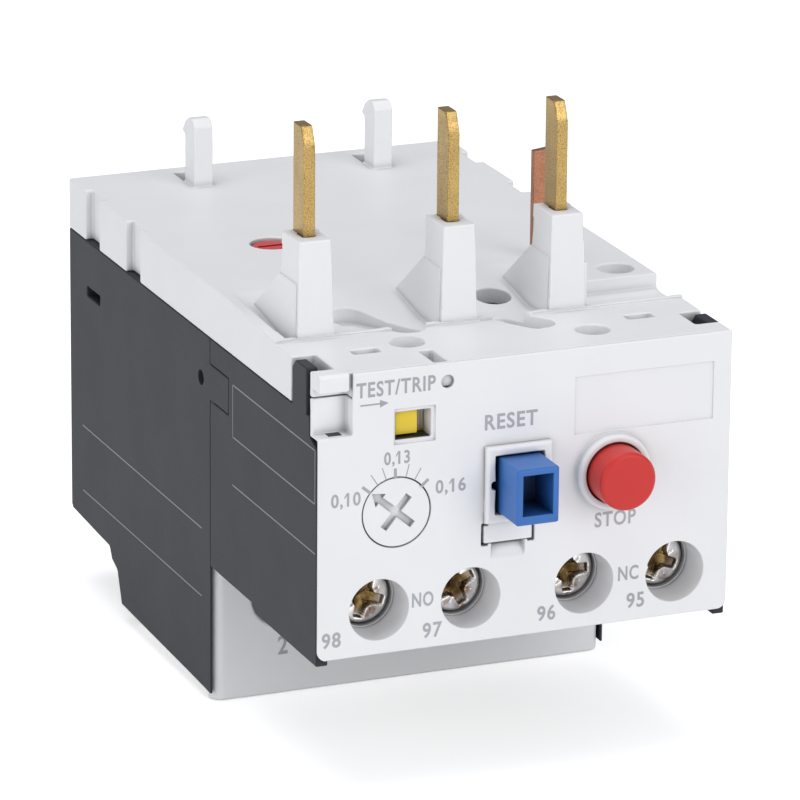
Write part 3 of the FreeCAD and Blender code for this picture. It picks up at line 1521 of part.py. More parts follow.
def slides():
    low = s.slide_bottom
    high = low + s.slide_thick
    reach = s.slide_half_length
    stand = s.bimetal_thick / 2 + s.bimetal_gap
    body = new_body("main_slide")
    front = s.main_slide_front
    extrude(body, "XY", low, high, rectangle(-reach, reach, front, front + s.slide_width))
    for across in poles.values():
        extrude(body, "XY", low, high, rectangle(
            across - stand - s.slide_finger, across - stand, front + s.slide_width - s.bite,
            s.bimetal_start + s.bimetal_width + s.finger_past))
    slide_pin(body, front + s.slide_width / 2, high)
    body = new_body("differential_slide")
    front = s.differential_slide_front
    extrude(body, "XY", low, high, rectangle(-reach, reach, front, front + s.slide_width))
    for across in poles.values():
        extrude(body, "XY", low, high, rectangle(
            across + stand, across + stand + s.slide_finger, s.bimetal_start - s.finger_past,
            front + s.bite))
    slide_pin(body, front + s.slide_width / 2, high)


def slide_pin(body, depth, high):
    extrude(body, "XY", high - s.bite, high + s.lever_thick + s.slide_pin_rise,
            circle(s.lever_pin_across, depth, s.lever_pin_radius))


def differential_lever():
    body = new_body("differential_lever")
    low = s.slide_bottom + s.slide_thick + s.slide_lift
    high = low + s.lever_thick
    across = s.lever_pin_across
    pivot = (across, s.main_slide_front + s.slide_width / 2)
    rear = s.differential_slide_front + s.slide_width / 2
    edge = s.pivot_across + s.strip_thick / 2 + s.nose_gap
    extrude(body, "XY", low, high, circle(*pivot, s.lever_pin_radius + s.phase_hub_wall))
    extrude(body, "XY", low, high, polygon([
        (edge, s.nose_front), (edge + s.phase_nose_wide, s.nose_front),
        (across + s.phase_arm_right, pivot[1] - s.phase_arm_front),
        (across - s.phase_arm_left, pivot[1]), (edge, s.nose_front + s.phase_nose_long)]))
    fork = s.lever_pin_radius + s.fork_gap
    outside = fork + s.fork_wall
    extrude(body, "XY", low, high, polygon([
        (across - s.phase_arm_right, pivot[1]), (across + s.phase_arm_right, pivot[1]),
        (across + outside, rear - s.fork_long), (across + outside, rear + s.fork_back),
        (across - outside, rear + s.fork_back), (across - outside, rear - s.fork_long)]))
    cut(body, "XY", low, high, rectangle(across - fork, across + fork, rear - s.fork_slot,
                                         rear + s.fork_back))
    cut(body, "XY", low, high, circle(*pivot, s.lever_pin_radius + s.pin_gap))


# Power terminals

def load_terminals():
    for name, across in poles.items():
        body = new_body(f"load_terminal_{name}")
        wide = s.load_plate_width / 2
        front = load_plate_front
        back = front + s.load_plate_thick
        shelf = s.load_shelf_width / 2
        extrude(body, "XZ", front, back, rectangle(across - wide, across + wide,
                                                   s.load_plate_bottom, s.load_shelf_top))
        extrude(body, "XY", s.load_shelf_top - s.load_plate_thick, s.load_shelf_top,
                rectangle(across - shelf, across + shelf, back - s.bite, s.load_shelf_end))
        cut(body, "XZ", front, back, circle(across, s.load_up, s.load_shank_radius + s.seat_gap))
    body = new_body("load_clamps")
    reach = s.load_clamp_side / 2
    outlines = []
    for across in poles.values():
        outlines.append(rectangle(across - reach, across + reach, s.load_up - reach,
                                  s.load_up + reach))
        outlines.append(circle(across, s.load_up, s.load_shank_radius + s.pin_gap))
    extrude(body, "XZ", load_plate_front - s.load_clamp_thick, load_plate_front, *outlines)
    body = new_body("load_screws")
    screw_group(body, [(across, s.load_up) for across in poles.values()], s.load_head_face,
                s.load_head_face + s.load_head_thick, s.load_shank_end, s.load_head_radius,
                s.load_shank_radius, s.load_drive)


def line_pins():
    # The tail of each pin runs rearwards under the roof to the lug above its heater.
    for name, left in pin_sides.items():
        body = new_body(f"line_pin_{name}")
        right = left + s.pin_thick
        extrude(body, "YZ", left, right, polygon([
            (s.pin_front, tail_bottom), (s.pin_front + s.pin_width, tail_bottom),
            (s.pin_front + s.pin_width, s.pin_top), (s.pin_front + s.pin_bevel, s.pin_top),
            (s.pin_front, s.pin_top - s.pin_bevel_height)]))
        target = poles[name] - s.tail_width / 2
        end = s.lug_front + s.tail_thick
        turn = s.tail_bend + s.tail_run
        extrude(body, "XY", tail_bottom, s.tail_top, polygon([
            (left, s.pin_front), (left + s.tail_width, s.pin_front),
            (left + s.tail_width, s.tail_bend), (target + s.tail_width, turn),
            (target + s.tail_width, end), (target, end), (target, turn + s.tail_bend_back),
            (left, s.tail_bend + s.tail_bend_back)]))
        extrude(body, "XZ", s.lug_front, end, rectangle(
            target, target + s.tail_width, s.lug_bottom, s.tail_top))


def coil_terminal_blade():
    body = new_body("coil_terminal_blade")
    left = s.coil_blade_left
    right = left + s.coil_blade_width
    extrude(body, "XZ", s.coil_blade_front, s.coil_blade_front + s.coil_blade_thick, polygon([
        (left, s.coil_blade_bottom), (right, s.coil_blade_bottom),
        (right, s.coil_blade_top + s.coil_blade_slope),
        (left, s.coil_blade_top)]))


builders = (
    front_panel, reset_bezel, front_housing, rear_housing, terminal_cover, top_cover,
    calibration_screw, setting_dial, reset_button, stop_button, springs, trip_flag,
    mechanism_plate, pins, setting_arm, trip_lever, compensation_strip, reset_lever,
    contact_carrier, snap_spring, aux_terminals, moving_contacts, aux_clamps, aux_screws,
    heaters, slides, differential_lever, load_terminals, line_pins, coil_terminal_blade)

for build in builders:
    build()
    doc.recompute()

for item in doc.Objects:
    if "Invalid" in item.State or "Error" in item.State:
        raise RuntimeError(f"{item.Name} is not well built: {item.State}")

os.makedirs("parts", exist_ok=True)
for body in bodies:
    shape = body.Shape
    if shape.isNull() or not shape.isValid():
        raise RuntimeError(f"{body.Label} has no good shape")
    shape.exportStep(f"parts/{body.Label}.step")
    print(body.Label, len(shape.Solids), round(shape.Volume, 1))
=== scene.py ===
import bpy
import bmesh
import json
import math
import numpy as np
from mathutils import Matrix, Vector
from mathutils.geometry import delaunay_2d_cdt


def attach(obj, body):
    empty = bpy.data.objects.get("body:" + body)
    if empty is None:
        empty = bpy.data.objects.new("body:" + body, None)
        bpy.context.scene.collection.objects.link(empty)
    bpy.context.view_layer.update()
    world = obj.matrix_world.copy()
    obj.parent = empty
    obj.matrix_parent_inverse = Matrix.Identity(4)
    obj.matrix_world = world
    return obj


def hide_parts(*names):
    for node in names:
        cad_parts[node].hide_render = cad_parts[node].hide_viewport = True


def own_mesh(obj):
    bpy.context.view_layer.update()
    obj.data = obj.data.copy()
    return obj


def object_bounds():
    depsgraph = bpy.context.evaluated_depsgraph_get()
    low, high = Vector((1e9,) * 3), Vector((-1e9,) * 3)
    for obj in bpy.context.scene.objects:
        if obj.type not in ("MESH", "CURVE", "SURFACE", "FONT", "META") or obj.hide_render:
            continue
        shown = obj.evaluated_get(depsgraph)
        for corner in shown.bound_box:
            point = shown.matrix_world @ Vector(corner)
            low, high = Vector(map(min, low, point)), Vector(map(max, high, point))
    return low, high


# Thermal overload relay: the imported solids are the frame, and what shows is dressed here.
# Sizes below are in millimetres, counted from the panel's face (Y 0) and the base (Z 0).

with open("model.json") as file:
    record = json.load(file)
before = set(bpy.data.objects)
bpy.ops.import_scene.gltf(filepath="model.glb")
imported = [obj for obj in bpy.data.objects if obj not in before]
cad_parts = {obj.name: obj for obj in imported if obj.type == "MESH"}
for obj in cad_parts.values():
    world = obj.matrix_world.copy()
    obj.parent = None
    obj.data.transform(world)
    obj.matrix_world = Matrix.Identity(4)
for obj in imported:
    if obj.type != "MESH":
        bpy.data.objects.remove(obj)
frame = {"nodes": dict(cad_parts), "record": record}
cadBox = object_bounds()
scene = bpy.context.scene
print("frame loaded")

mm = 0.001
resetReach = 5.4  # how far the reset button stands out in front of the panel
panelFace = cadBox[0][1] / mm + resetReach


def at(x, y, z):
    return Vector((x * mm, (y + panelFace) * mm, z * mm))


# Screw values: a cross recess with a sunk middle, four smooth lobes and a rounded rim.
screwHead = {
    "armHalf": 0.52, "armReach": 2.2, "recessDeep": 1.15, "pitRadius": 1.15, "rim": 0.55,
    "crown": 0.16, "rings": 38, "sides": 120, "darkeningFrom": 0.15, "darkeningTo": 0.7,
}
auxScrews = {
    **screwHead, "across": (-15.87, -5.91, 6.56, 16.63), "up": 19.7, "face": 4.3, "thick": 1.85,
    "headRadius": 2.88, "turnSpread": 0.3, "turns": (8, -24, 14, 36),
    "shankRadius": 1.45, "shankEnd": 11.6,
}
loadScrews = {
    **screwHead, "across": (-14.5, 0.0, 14.5), "up": 11.0, "face": 33.0, "thick": 2.6,
    "headRadius": 2.9, "turnSpread": 0.4, "turns": (20, -12, 40),
    "shankRadius": 1.95, "shankEnd": 43.5,
}


# Materials

def newMaterial(name):
    material = bpy.data.materials.new(name)
    material.use_nodes = True
    tree = material.node_tree
    return material, tree, tree.nodes["Principled BSDF"]


def noiseOf(tree, scale, detail=3.0, stretch=(1, 1, 1), roughness=0.5):
    coords = tree.nodes.new("ShaderNodeTexCoord")
    mapping = tree.nodes.new("ShaderNodeMapping")
    mapping.inputs["Scale"].default_value = stretch
    noise = tree.nodes.new("ShaderNodeTexNoise")
    noise.inputs["Scale"].default_value = scale
    noise.inputs["Detail"].default_value = detail
    noise.inputs["Roughness"].default_value = roughness
    tree.links.new(coords.outputs["Object"], mapping.inputs["Vector"])
    tree.links.new(mapping.outputs["Vector"], noise.inputs["Vector"])
    return noise


def rampOf(tree, source, stops):
    ramp = tree.nodes.new("ShaderNodeValToRGB")
    ramp.color_ramp.elements[0].position = stops[0][0]
    ramp.color_ramp.elements[0].color = (*stops[0][1], 1)
    ramp.color_ramp.elements[1].position = stops[-1][0]
    ramp.color_ramp.elements[1].color = (*stops[-1][1], 1)
    for position, colour in stops[1:-1]:
        ramp.color_ramp.elements.new(position).color = (*colour, 1)
    tree.links.new(source, ramp.inputs["Fac"])
    return ramp


def rangeOf(tree, source, low, high):
    spread = tree.nodes.new("ShaderNodeMapRange")
    spread.inputs["To Min"].default_value = low
    spread.inputs["To Max"].default_value = high
    tree.links.new(source, spread.inputs["Value"])
    return spread.outputs["Result"]


def bumpOf(tree, source, strength, distance, shader, before=None):
    bump = tree.nodes.new("ShaderNodeBump")
    bump.inputs["Strength"].default_value = strength
    bump.inputs["Distance"].default_value = distance * mm
    tree.links.new(source, bump.inputs["Height"])
    if before is not None:
        tree.links.new(before.outputs["Normal"], bump.inputs["Normal"])
    tree.links.new(bump.outputs["Normal"], shader.inputs["Normal"])
    return bump


def mixOf(tree, factor, one, two, blendType="MIX"):
    # Factor is a number or an output.
    blend = tree.nodes.new("ShaderNodeMix")
    blend.data_type = "RGBA"
    blend.blend_type = blendType
    if isinstance(factor, float):
        blend.inputs["Factor"].default_value = factor
    else:
        tree.links.new(factor, blend.inputs["Factor"])
    tree.links.new(one, blend.inputs[6])
    tree.links.new(two, blend.inputs[7])
    return blend.outputs[2]


def mathOf(tree, operation, *sources):
    # Each source is a number or an output.
    node = tree.nodes.new("ShaderNodeMath")
    node.operation = operation
    for place, source in enumerate(sources):
        if isinstance(source, (int, float)):
            node.inputs[place].default_value = source
        else:
            tree.links.new(source, node.inputs[place])
    return node.outputs[0]


def shade(colour, factor):
    return tuple(min(1.0, part * factor) for part in colour)


def paintedHollowShade(tree, colour, shader, reach, shadeDarkest):
    # Painted shade: the base colour is darkened in deep corners and hollows, as far as the
    # occlusion reaches.
    nearby = tree.nodes.new("ShaderNodeAmbientOcclusion")
    nearby.samples = 8
    nearby.inputs["Distance"].default_value = reach * mm
    level = rampOf(tree, nearby.outputs["AO"], [(0.3, (shadeDarkest,) * 3), (0.92, (1, 1, 1))])
    tree.links.new(mixOf(tree, 1.0, colour, level.outputs["Color"], "MULTIPLY"),
                   shader.inputs["Base Color"])


# Moulded plastic: cloudy tone, fine spark-eroded grain, a broad flow ripple, and painted shade in
# its hollows.
def plastic(name, colour, roughness=0.45, grain=0.3, grainSize=0.12, cloud=0.03, specular=0.4,
            reach=1.0, shadeDarkest=0.6):
    material, tree, shader = newMaterial(name)
    clouds = noiseOf(tree, 140, 4)
    tone = rampOf(tree, clouds.outputs["Fac"], [(0.3, shade(colour, 1 - cloud)),
                                                (0.7, shade(colour, 1 + cloud))])
    # Painted shade in hollows and corners darkens the cloudy tone.
    paintedHollowShade(tree, tone.outputs["Color"], shader, reach, shadeDarkest)
    grains = noiseOf(tree, 1 / (grainSize * mm), 2, roughness=0.7)
    tree.links.new(rangeOf(tree, grains.outputs["Fac"], roughness - 0.08, roughness + 0.1),
                   shader.inputs["Roughness"])
    first = bumpOf(tree, grains.outputs["Fac"], grain, 0.02, shader)
    ripple = noiseOf(tree, 90, 1)
    bumpOf(tree, ripple.outputs["Fac"], 0.12, 0.25, shader, first)
    shader.inputs["Specular IOR Level"].default_value = specular
    return material


# Plated or bare metal: streaks along the drawing direction, small dents, dull patches.
def metal(name, colour, roughness=0.28, stretch=(1, 1, 0.08), streak=0.06, tarnish=0.18,
          speckle=0.12):
    material, tree, shader = newMaterial(name)
    streaks = noiseOf(tree, 2600, 3, stretch)
    clouds = noiseOf(tree, 420, 3)
    tone = rampOf(tree, clouds.outputs["Fac"], [(0.3, shade(colour, 1 - tarnish)),
                                                (0.62, colour), (0.8, shade(colour, 1.08))])
    specks = noiseOf(tree, 6500, 2, roughness=0.75)
    spots = rampOf(tree, specks.outputs["Fac"], [
        (0.36, (1 - 3 * speckle,) * 3), (0.5, (1 - speckle / 2,) * 3), (0.62, (1, 1, 1))])
    tree.links.new(mixOf(tree, 1.0, tone.outputs["Color"], spots.outputs["Color"], "MULTIPLY"),
                   shader.inputs["Base Color"])
    tree.links.new(rangeOf(tree, streaks.outputs["Fac"], roughness - streak,
                           roughness + streak * 1.6), shader.inputs["Roughness"])
    first = bumpOf(tree, streaks.outputs["Fac"], 0.1, 0.006, shader)
    bumpOf(tree, clouds.outputs["Fac"], 0.08, 0.03, shader, first)
    shader.inputs["Metallic"].default_value = 1.0
    return material


# Screw plating: bright nickel on the lobes, turning darker and browner deeper down in the recess.
def screwMetal(name):
    material, tree, shader = newMaterial(name)
    coords = tree.nodes.new("ShaderNodeTexCoord")
    parts = tree.nodes.new("ShaderNodeSeparateXYZ")
    tree.links.new(coords.outputs["Object"], parts.inputs["Vector"])
    layers = []
    for screw in (auxScrews, loadScrews):
        deep = tree.nodes.new("ShaderNodeMapRange")
        deep.inputs["From Min"].default_value = at(0, screw["face"] + screw["darkeningFrom"], 0).y
        deep.inputs["From Max"].default_value = at(0, screw["face"] + screw["darkeningTo"], 0).y
        tree.links.new(parts.outputs["Y"], deep.inputs["Value"])
        layers.append(deep.outputs["Result"])
    between = (auxScrews["face"] + loadScrews["face"]) / 2
    rear = mathOf(tree, "GREATER_THAN", parts.outputs["Y"], at(0, between, 0).y)
    pick = tree.nodes.new("ShaderNodeMix")
    tree.links.new(rear, pick.inputs["Factor"])
    tree.links.new(layers[0], pick.inputs[2])
    tree.links.new(layers[1], pick.inputs[3])
    clouds = noiseOf(tree, 700, 4)
    bright = rampOf(tree, clouds.outputs["Fac"], [
        (0.36, (0.5, 0.38, 0.3)), (0.46, (0.82, 0.78, 0.75)), (0.6, (0.98, 0.97, 0.96))])
    # Colours deep in the recess: darker and browner than the lobes, blended in by depth.
    deepColours = rampOf(tree, clouds.outputs["Fac"], [
        (0.34, (0.028, 0.016, 0.008)), (0.5, (0.09, 0.055, 0.02)), (0.66, (0.27, 0.185, 0.075))])
    tree.links.new(mixOf(tree, pick.outputs[0], bright.outputs["Color"], deepColours.outputs["Color"]),
                   shader.inputs["Base Color"])
    tree.links.new(rangeOf(tree, clouds.outputs["Fac"], 0.12, 0.34), shader.inputs["Roughness"])
    bumpOf(tree, clouds.outputs["Fac"], 0.2, 0.04, shader)
    shader.inputs["Metallic"].default_value = 1.0
    return material


# For the plastics, the two last numbers, where given, are the reach and the darkest level of the
# painted shade in hollows.
finishes = {
    "pale": plastic("pale plastic", (0.83, 0.832, 0.845), 0.42, 0.22, 0.1, 0.012, 0.4, 1.1, 0.5),
    "dark": plastic("dark plastic", (0.033, 0.034, 0.043), 0.55, 0.5, 0.14, 0.1, 0.2, 0.8, 0.3),
    "blue": plastic("blue plastic", (0.03, 0.145, 0.46), 0.38, 0.25, 0.12, 0.06, 0.45, 3.2, 0.16),
    "red": plastic("red plastic", (0.6, 0.028, 0.024), 0.4, 0.22, 0.12, 0.05),
    "yellow": plastic("yellow plastic", (0.86, 0.63, 0.045), 0.42, 0.2, 0.12, 0.06),
    "green": plastic("green plastic", (0.08, 0.26, 0.12), 0.45),
    "cream": plastic("cream plastic", (0.64, 0.6, 0.48), 0.5),
    "black": plastic("black plastic", (0.018, 0.018, 0.02), 0.45),
    "grey": plastic("grey plastic", (0.6, 0.61, 0.62), 0.4),
    # A lit copy of the pale plastic for the terminal cover: a little brighter, with much less
    # painted shade in its hollows.
    "cover": plastic("pale cover plastic", (0.85, 0.85, 0.86), 0.42, 0.22, 0.1, 0.012, 0.4, 0.5,
                     0.85),
    "lines": plastic("pale line ink", (0.24, 0.235, 0.225), 0.5, 0.3, 0.05, 0.06),
    "print": plastic("printing ink", (0.39, 0.395, 0.43), 0.5, 0.3, 0.05, 0.06),
    "screw": screwMetal("nickel plated screw"),
    "seal": plastic("sealing lacquer", (0.6, 0.02, 0.025), 0.22, 0.3, 0.4, 0.12, 0.5),
    "brass": metal("gold plated brass", (0.5, 0.34, 0.125), 0.33, (1, 1, 0.15), 0.06, 0.16, 0.2),
    "zinc": metal("zinc plated steel", (0.6, 0.57, 0.53), 0.24, (1, 1, 1)),
    "steel": metal("spring steel", (0.55, 0.55, 0.56), 0.3, (0.1, 1, 1)),
    "copper": metal("stamped copper", (0.46, 0.21, 0.125), 0.36),
    "bronze": metal("contact bronze", (0.72, 0.46, 0.26), 0.3, (0.1, 1, 1)),
    "bimetal": metal("bimetal", (0.56, 0.52, 0.46), 0.32),
    "heater": metal("heater ribbon", (0.4, 0.36, 0.32), 0.38, (1, 1, 1)),
    "glass": plastic("woven glass sleeve", (0.7, 0.67, 0.58), 0.6, 0.8, 0.3, 0.06),
}
print("materials made")


# Mesh helpers and the values of the rounding. Angles are in degrees, lengths in millimetres.

softening = {
    "segments": 2, "sharp": 40, "crease": 50,
    "step": 1.6,  # side of the even triangles in flat faces
    "leastHeight": 1e-4, "sliver": 0.004,  # flatter ones are left out or shade as a neighbour
    "alongEdge": 0.8, "acrossFace": 0.42,  # shares of an edge and a face that rounding may take
    "leastShare": 0.15,  # an edge with less room than this share of the radius stays sharp
    "foldSteps": (0.35, 0.35, 0.0, 0.0, None),  # how edges near a fold give way, try by try
}
onePlane = 0.99998  # cosine between the normals of faces that count as one flat face
foldCosine = -0.5  # neighbours whose normals differ more are folded on each other


def finish(piece, material, body, nodes=()):
    piece.data.materials.clear()
    piece.data.materials.append(material)
    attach(piece, body)
    if nodes:
        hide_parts(*nodes)


def meshPiece(name, form):
    mesh = bpy.data.meshes.new(name)
    form.to_mesh(mesh)
    form.free()
    piece = bpy.data.objects.new(name, mesh)
    scene.collection.objects.link(piece)
    return piece


def bake(piece):
    # Applies the piece's modifiers, so that it is a plain mesh.
    graph = bpy.context.evaluated_depsgraph_get()
    mesh = bpy.data.meshes.new_from_object(piece.evaluated_get(graph))
    old = piece.data
    piece.modifiers.clear()
    piece.data = mesh
    bpy.data.meshes.remove(old)
    mesh.name = piece.name


def smoothFaces(piece):
    for polygon in piece.data.polygons:
        polygon.use_smooth = True


def joinRings(form, rings, closed=False):
    # Faces between rings of vertices that follow each other.
    count = len(rings[0])
    for one, two in zip(rings, rings[1:] + (rings[:1] if closed else [])):
        for side in range(count):
            after = (side + 1) % count
            form.faces.new((one[side], one[after], two[after], two[side]))


def flatRegions(form):
    # Groups the faces that lie in one plane and meet along their edges.
    regionOf = [-1] * len(form.faces)
    seeds = []
    for seed in sorted(form.faces, key=lambda face: -face.calc_area()):
        if regionOf[seed.index] >= 0:
            continue
        number = len(seeds)
        seeds.append(seed)
        regionOf[seed.index] = number
        normal = seed.normal
        waiting = [seed]
        while waiting:
            face = waiting.pop()
            for edge in face.edges:
                if len(edge.link_faces) != 2:
                    continue
                for other in edge.link_faces:
                    if regionOf[other.index] < 0 and other.normal.dot(normal) > onePlane:
                        regionOf[other.index] = number
                        waiting.append(other)
    return regionOf, seeds


def insideTest(points, ends):
    # Counts how many outline edges lie to the right of each point.
    x, y = points[:, 0][:, None], points[:, 1][:, None]
    x1, y1, x2, y2 = ends.T
    crosses = (y1 > y) != (y2 > y)
    rise = np.where(y2 == y1, 1.0, y2 - y1)
    right = x < (x2 - x1) * (y - y1) / rise + x1
    return (crosses & right).sum(axis=1) % 2 == 1


def gridInside(corners, ends, step):
    low, high = corners.min(axis=0), corners.max(axis=0)
    rows = []
    for row, y in enumerate(np.arange(low[1] + step / 2, high[1], step * 0.87)):
        for x in np.arange(low[0] + step / (2 if row % 2 else 1), high[0], step):
            rows.append((x, y))
    if not rows:
        return np.zeros((0, 2))
    grid = np.array(rows)
    grid = grid[insideTest(grid, ends)]
    if len(grid) == 0:
        return grid
    one, two = ends[:, :2], ends[:, 2:]
    along = two - one
    size = np.maximum((along ** 2).sum(axis=1), 1e-12)
    part = ((grid[:, None, :] - one) * along).sum(axis=2) / size
    nearest = one + np.clip(part, 0, 1)[:, :, None] * along
    away = np.sqrt(((grid[:, None, :] - nearest) ** 2).sum(axis=2)).min(axis=1)
    return grid[away > step * 0.45]


def evenMesh(form, step):
    # Meshes each flat face anew with even triangles, so that its edges can be rounded.
    form.verts.index_update()
    form.edges.index_update()
    form.faces.index_update()
    regionOf, seeds = flatRegions(form)
    points = [vertex.co / mm for vertex in form.verts]
    chains = {}
    outlines = [[] for seed in seeds]
    for edge in form.edges:
        owners = [regionOf[face.index] for face in edge.link_faces]
        if len(owners) == 2 and owners[0] == owners[1]:
            continue
        one, two = edge.verts[0].index, edge.verts[1].index
        count = max(1, math.ceil(edge.calc_length() / mm / step))
        chain = [one]
        for number in range(1, count):
            chain.append(len(points))
            points.append(points[one].lerp(points[two], number / count))
        chain.append(two)
        chains[edge.index] = chain
        for owner in set(owners):
            outlines[owner].append(edge.index)
    faces = []
    for number, seed in enumerate(seeds):
        normal = seed.normal
        across = normal.orthogonal().normalized()
        up = normal.cross(across)
        origin = seed.verts[0].co / mm
        place = {}
        used = []
        links = []
        for edgeNumber in outlines[number]:
            chain = chains[edgeNumber]
            for corner in chain:
                if corner not in place:
                    place[corner] = len(used)
                    used.append(corner)
            links += [(place[a], place[b]) for a, b in zip(chain, chain[1:])]
        flat = [((points[c] - origin).dot(across), (points[c] - origin).dot(up)) for c in used]
        if len(flat) < 3:
            continue
        corners = np.array(flat)
        ends = np.array([(*flat[a], *flat[b]) for a, b in links])
        extent = corners.max(axis=0) - corners.min(axis=0)
        if min(extent) > 1.6 * step:
            flat += [tuple(point) for point in gridInside(corners, ends, step)]
        result = delaunay_2d_cdt([Vector(point) for point in flat], links, [], 0, 1e-5, True)
        spots, triangles, origins = result[0], result[2], result[3]
        if not triangles:
            continue
        ids = []
        for spot, sources in zip(spots, origins):
            sources = [source for source in sources if source < len(used)]
            if sources:
                ids.append(used[sources[0]])
            else:
                ids.append(len(points))
                points.append(origin + across * spot.x + up * spot.y)
        middles = np.array([sum((spots[c] for c in corners3), Vector((0, 0))) / 3
                            for corners3 in triangles])
        for keep, corners3 in zip(insideTest(middles, ends), triangles):
            one, two, three = (spots[c] for c in corners3)
            longest = max((one - two).length, (two - three).length, (three - one).length)
            height = abs((two - one).cross(three - one)) / longest
            ring = [ids[c] for c in corners3]
            if keep and height > softening["leastHeight"] and len(set(ring)) == 3:
                faces.append(ring)
    made = bmesh.new()
    verts = [made.verts.new(point * mm) for point in points]
    for ring in faces:
        corners3 = [verts[c] for c in ring]
        if made.faces.get(corners3) is None:
            made.faces.new(corners3)
    loose = [vertex for vertex in made.verts if not vertex.link_faces]
    bmesh.ops.delete(made, geom=loose, context="VERTS")
    made.normal_update()
    return made


def roundingLimits(form, radius, sharp):
    # Says how far each sharp edge can be rounded before it meets its neighbours.
    edges = [edge for edge in form.edges if len(edge.link_faces) == 2
             and edge.calc_face_angle(0) > math.radians(sharp)]
    chosen = set(edges)
    limits = {}
    for edge in edges:
        length = edge.calc_length()
        turn = 0.0
        for vertex in edge.verts:
            here = edge.other_vert(vertex).co - vertex.co
            reaches = [0.0]
            for other in vertex.link_edges:
                if other in chosen and other is not edge:
                    there = other.other_vert(vertex).co - vertex.co
                    reaches.append(1 / math.tan(max(here.angle(there, math.pi), 0.1) / 2))
            turn += max(reaches)
        limit = softening["alongEdge"] * length / max(turn, 0.01)
        for face in edge.link_faces:
            limit = min(limit, softening["acrossFace"] * 2 * face.calc_area() / length)
        limits[edge] = limit
    byVertex = {}
    for edge, limit in limits.items():
        for vertex in edge.verts:
            byVertex[vertex] = min(byVertex.get(vertex, 1.0), limit)
    weights = {}
    for edge in edges:
        share = min(byVertex[vertex] for vertex in edge.verts) / (radius * mm)
        weights[edge] = 0.0 if share < softening["leastShare"] else min(1.0, share)
    return weights


def evenNormals(mesh):
    # Corner normals follow the large flat faces, so only the rounded strips shade softly.
    form = bmesh.new()
    form.from_mesh(mesh)
    form.normal_update()
    form.faces.index_update()
    regionOf, seeds = flatRegions(form)
    area = [0.0] * len(seeds)
    for face in form.faces:
        area[regionOf[face.index]] += face.calc_area()
    least = math.cos(math.radians(softening["crease"]))
    normals = [None] * len(mesh.loops)
    form.faces.ensure_lookup_table()
    for face, polygon in zip(form.faces, mesh.polygons):
        own = face.normal
        longest = max(edge.calc_length() for edge in face.edges)
        if 2 * face.calc_area() < longest * softening["sliver"] * mm:
            around = [other for edge in face.edges for other in edge.link_faces
                      if other is not face]
            if around:
                own = max(around, key=lambda other: area[regionOf[other.index]]).normal
        for loop, number in zip(face.loops, polygon.loop_indices):
            total = own * area[regionOf[face.index]]
            for other in loop.vert.link_faces:
                if other is not face and other.normal.dot(own) > least:
                    total = total + other.normal * area[regionOf[other.index]]
            normals[number] = total.normalized() if total.length > 0 else own.copy()
    form.free()
    for polygon in mesh.polygons:
        polygon.use_smooth = True
    mesh.normals_split_custom_set(normals)


def foldedPlaces(mesh):
    # Finds where neighbouring faces lie back to back, which a rounding that is too wide leaves.
    form = bmesh.new()
    form.from_mesh(mesh)
    form.normal_update()
    places = []
    for edge in form.edges:
        if len(edge.link_faces) != 2:
            continue
        one, two = edge.link_faces
        smaller = min(one, two, key=lambda face: face.calc_area())
        if one.normal.dot(two.normal) < foldCosine and smaller.calc_area() > 1e-10:
            places.append(smaller.calc_center_median())
    form.free()
    return places


def softEdges(piece, radius, outerOnly=False):
    # Rounds the sharp edges as far as each one gives way, less where the rounding would fold.
    form = bmesh.new()
    form.from_mesh(piece.data)
    bmesh.ops.remove_doubles(form, verts=form.verts, dist=1e-6)
    bmesh.ops.dissolve_degenerate(form, edges=form.edges, dist=1e-6)
    even = evenMesh(form, softening["step"])
    form.free()
    layer = even.edges.layers.float.new("bevel_weight_edge")
    rounded = []
    for edge, weight in roundingLimits(even, radius, softening["sharp"]).items():
        if edge.is_convex or not outerOnly:
            edge[layer] = weight
            rounded.append(edge)
    for share in softening["foldSteps"]:
        even.to_mesh(piece.data)
        bevel = piece.modifiers.new("soft edges", "BEVEL")
        bevel.limit_method = "WEIGHT"
        bevel.width = radius * mm
        bevel.segments = softening["segments"]
        bevel.use_clamp_overlap = False
        bevel.miter_outer = "MITER_ARC"
        bevel.harden_normals = False
        bake(piece)
        places = foldedPlaces(piece.data)
        if not places or share is None:
            break
        near = (3 * radius + 0.2) * mm
        for edge in rounded:
            middle = (edge.verts[0].co + edge.verts[1].co) / 2
            reach = near + edge.calc_length() / 2
            if any((middle - place).length < reach for place in places):
                edge[layer] *= share
    even.free()
    evenNormals(piece.data)


# The stem end of the reset button: across, up, radius, depth, and how far its rim stands back.
stemCrown = {"reset_button": (-1.05, 31.6, 1.2, 14.8, 0.16)}


def crownEnd(mesh, x, z, radius, end, drop):
    # A crowned end rolls on the lever that it presses.
    middle = at(x, end, z)
    for vertex in mesh.vertices:
        off = math.hypot(vertex.co.x - middle.x, vertex.co.z - middle.z) / (radius * mm)
        if vertex.co.y > middle.y - 0.15 * mm and off < 1.05:
            vertex.co.y -= drop * mm * off ** 2


def moulded(node, finishName, radius):
    # A copy of a node's solid with rounded edges stands for the node. What moves is rounded on
    # its outer edges only, so that it gains nothing that its neighbours could hit.
    form = bmesh.new()
    form.from_mesh(frame["nodes"][node].data)
    piece = meshPiece(f"{node}_skin", form)
    softEdges(piece, radius, outerOnly=bodyOf[node] != "frame")
    if node in stemCrown:
        crownEnd(piece.data, *stemCrown[node])
    finish(piece, finishes[finishName], bodyOf[node], [node])


slotOf = {part["node"]: part["material_slot"] for part in frame["record"]["subparts"]}
bodyOf = {}
for bodyName, nodeNames in frame["record"]["behaviour"]["bodies"].items():
    for nodeName in nodeNames:
        bodyOf[nodeName] = bodyName

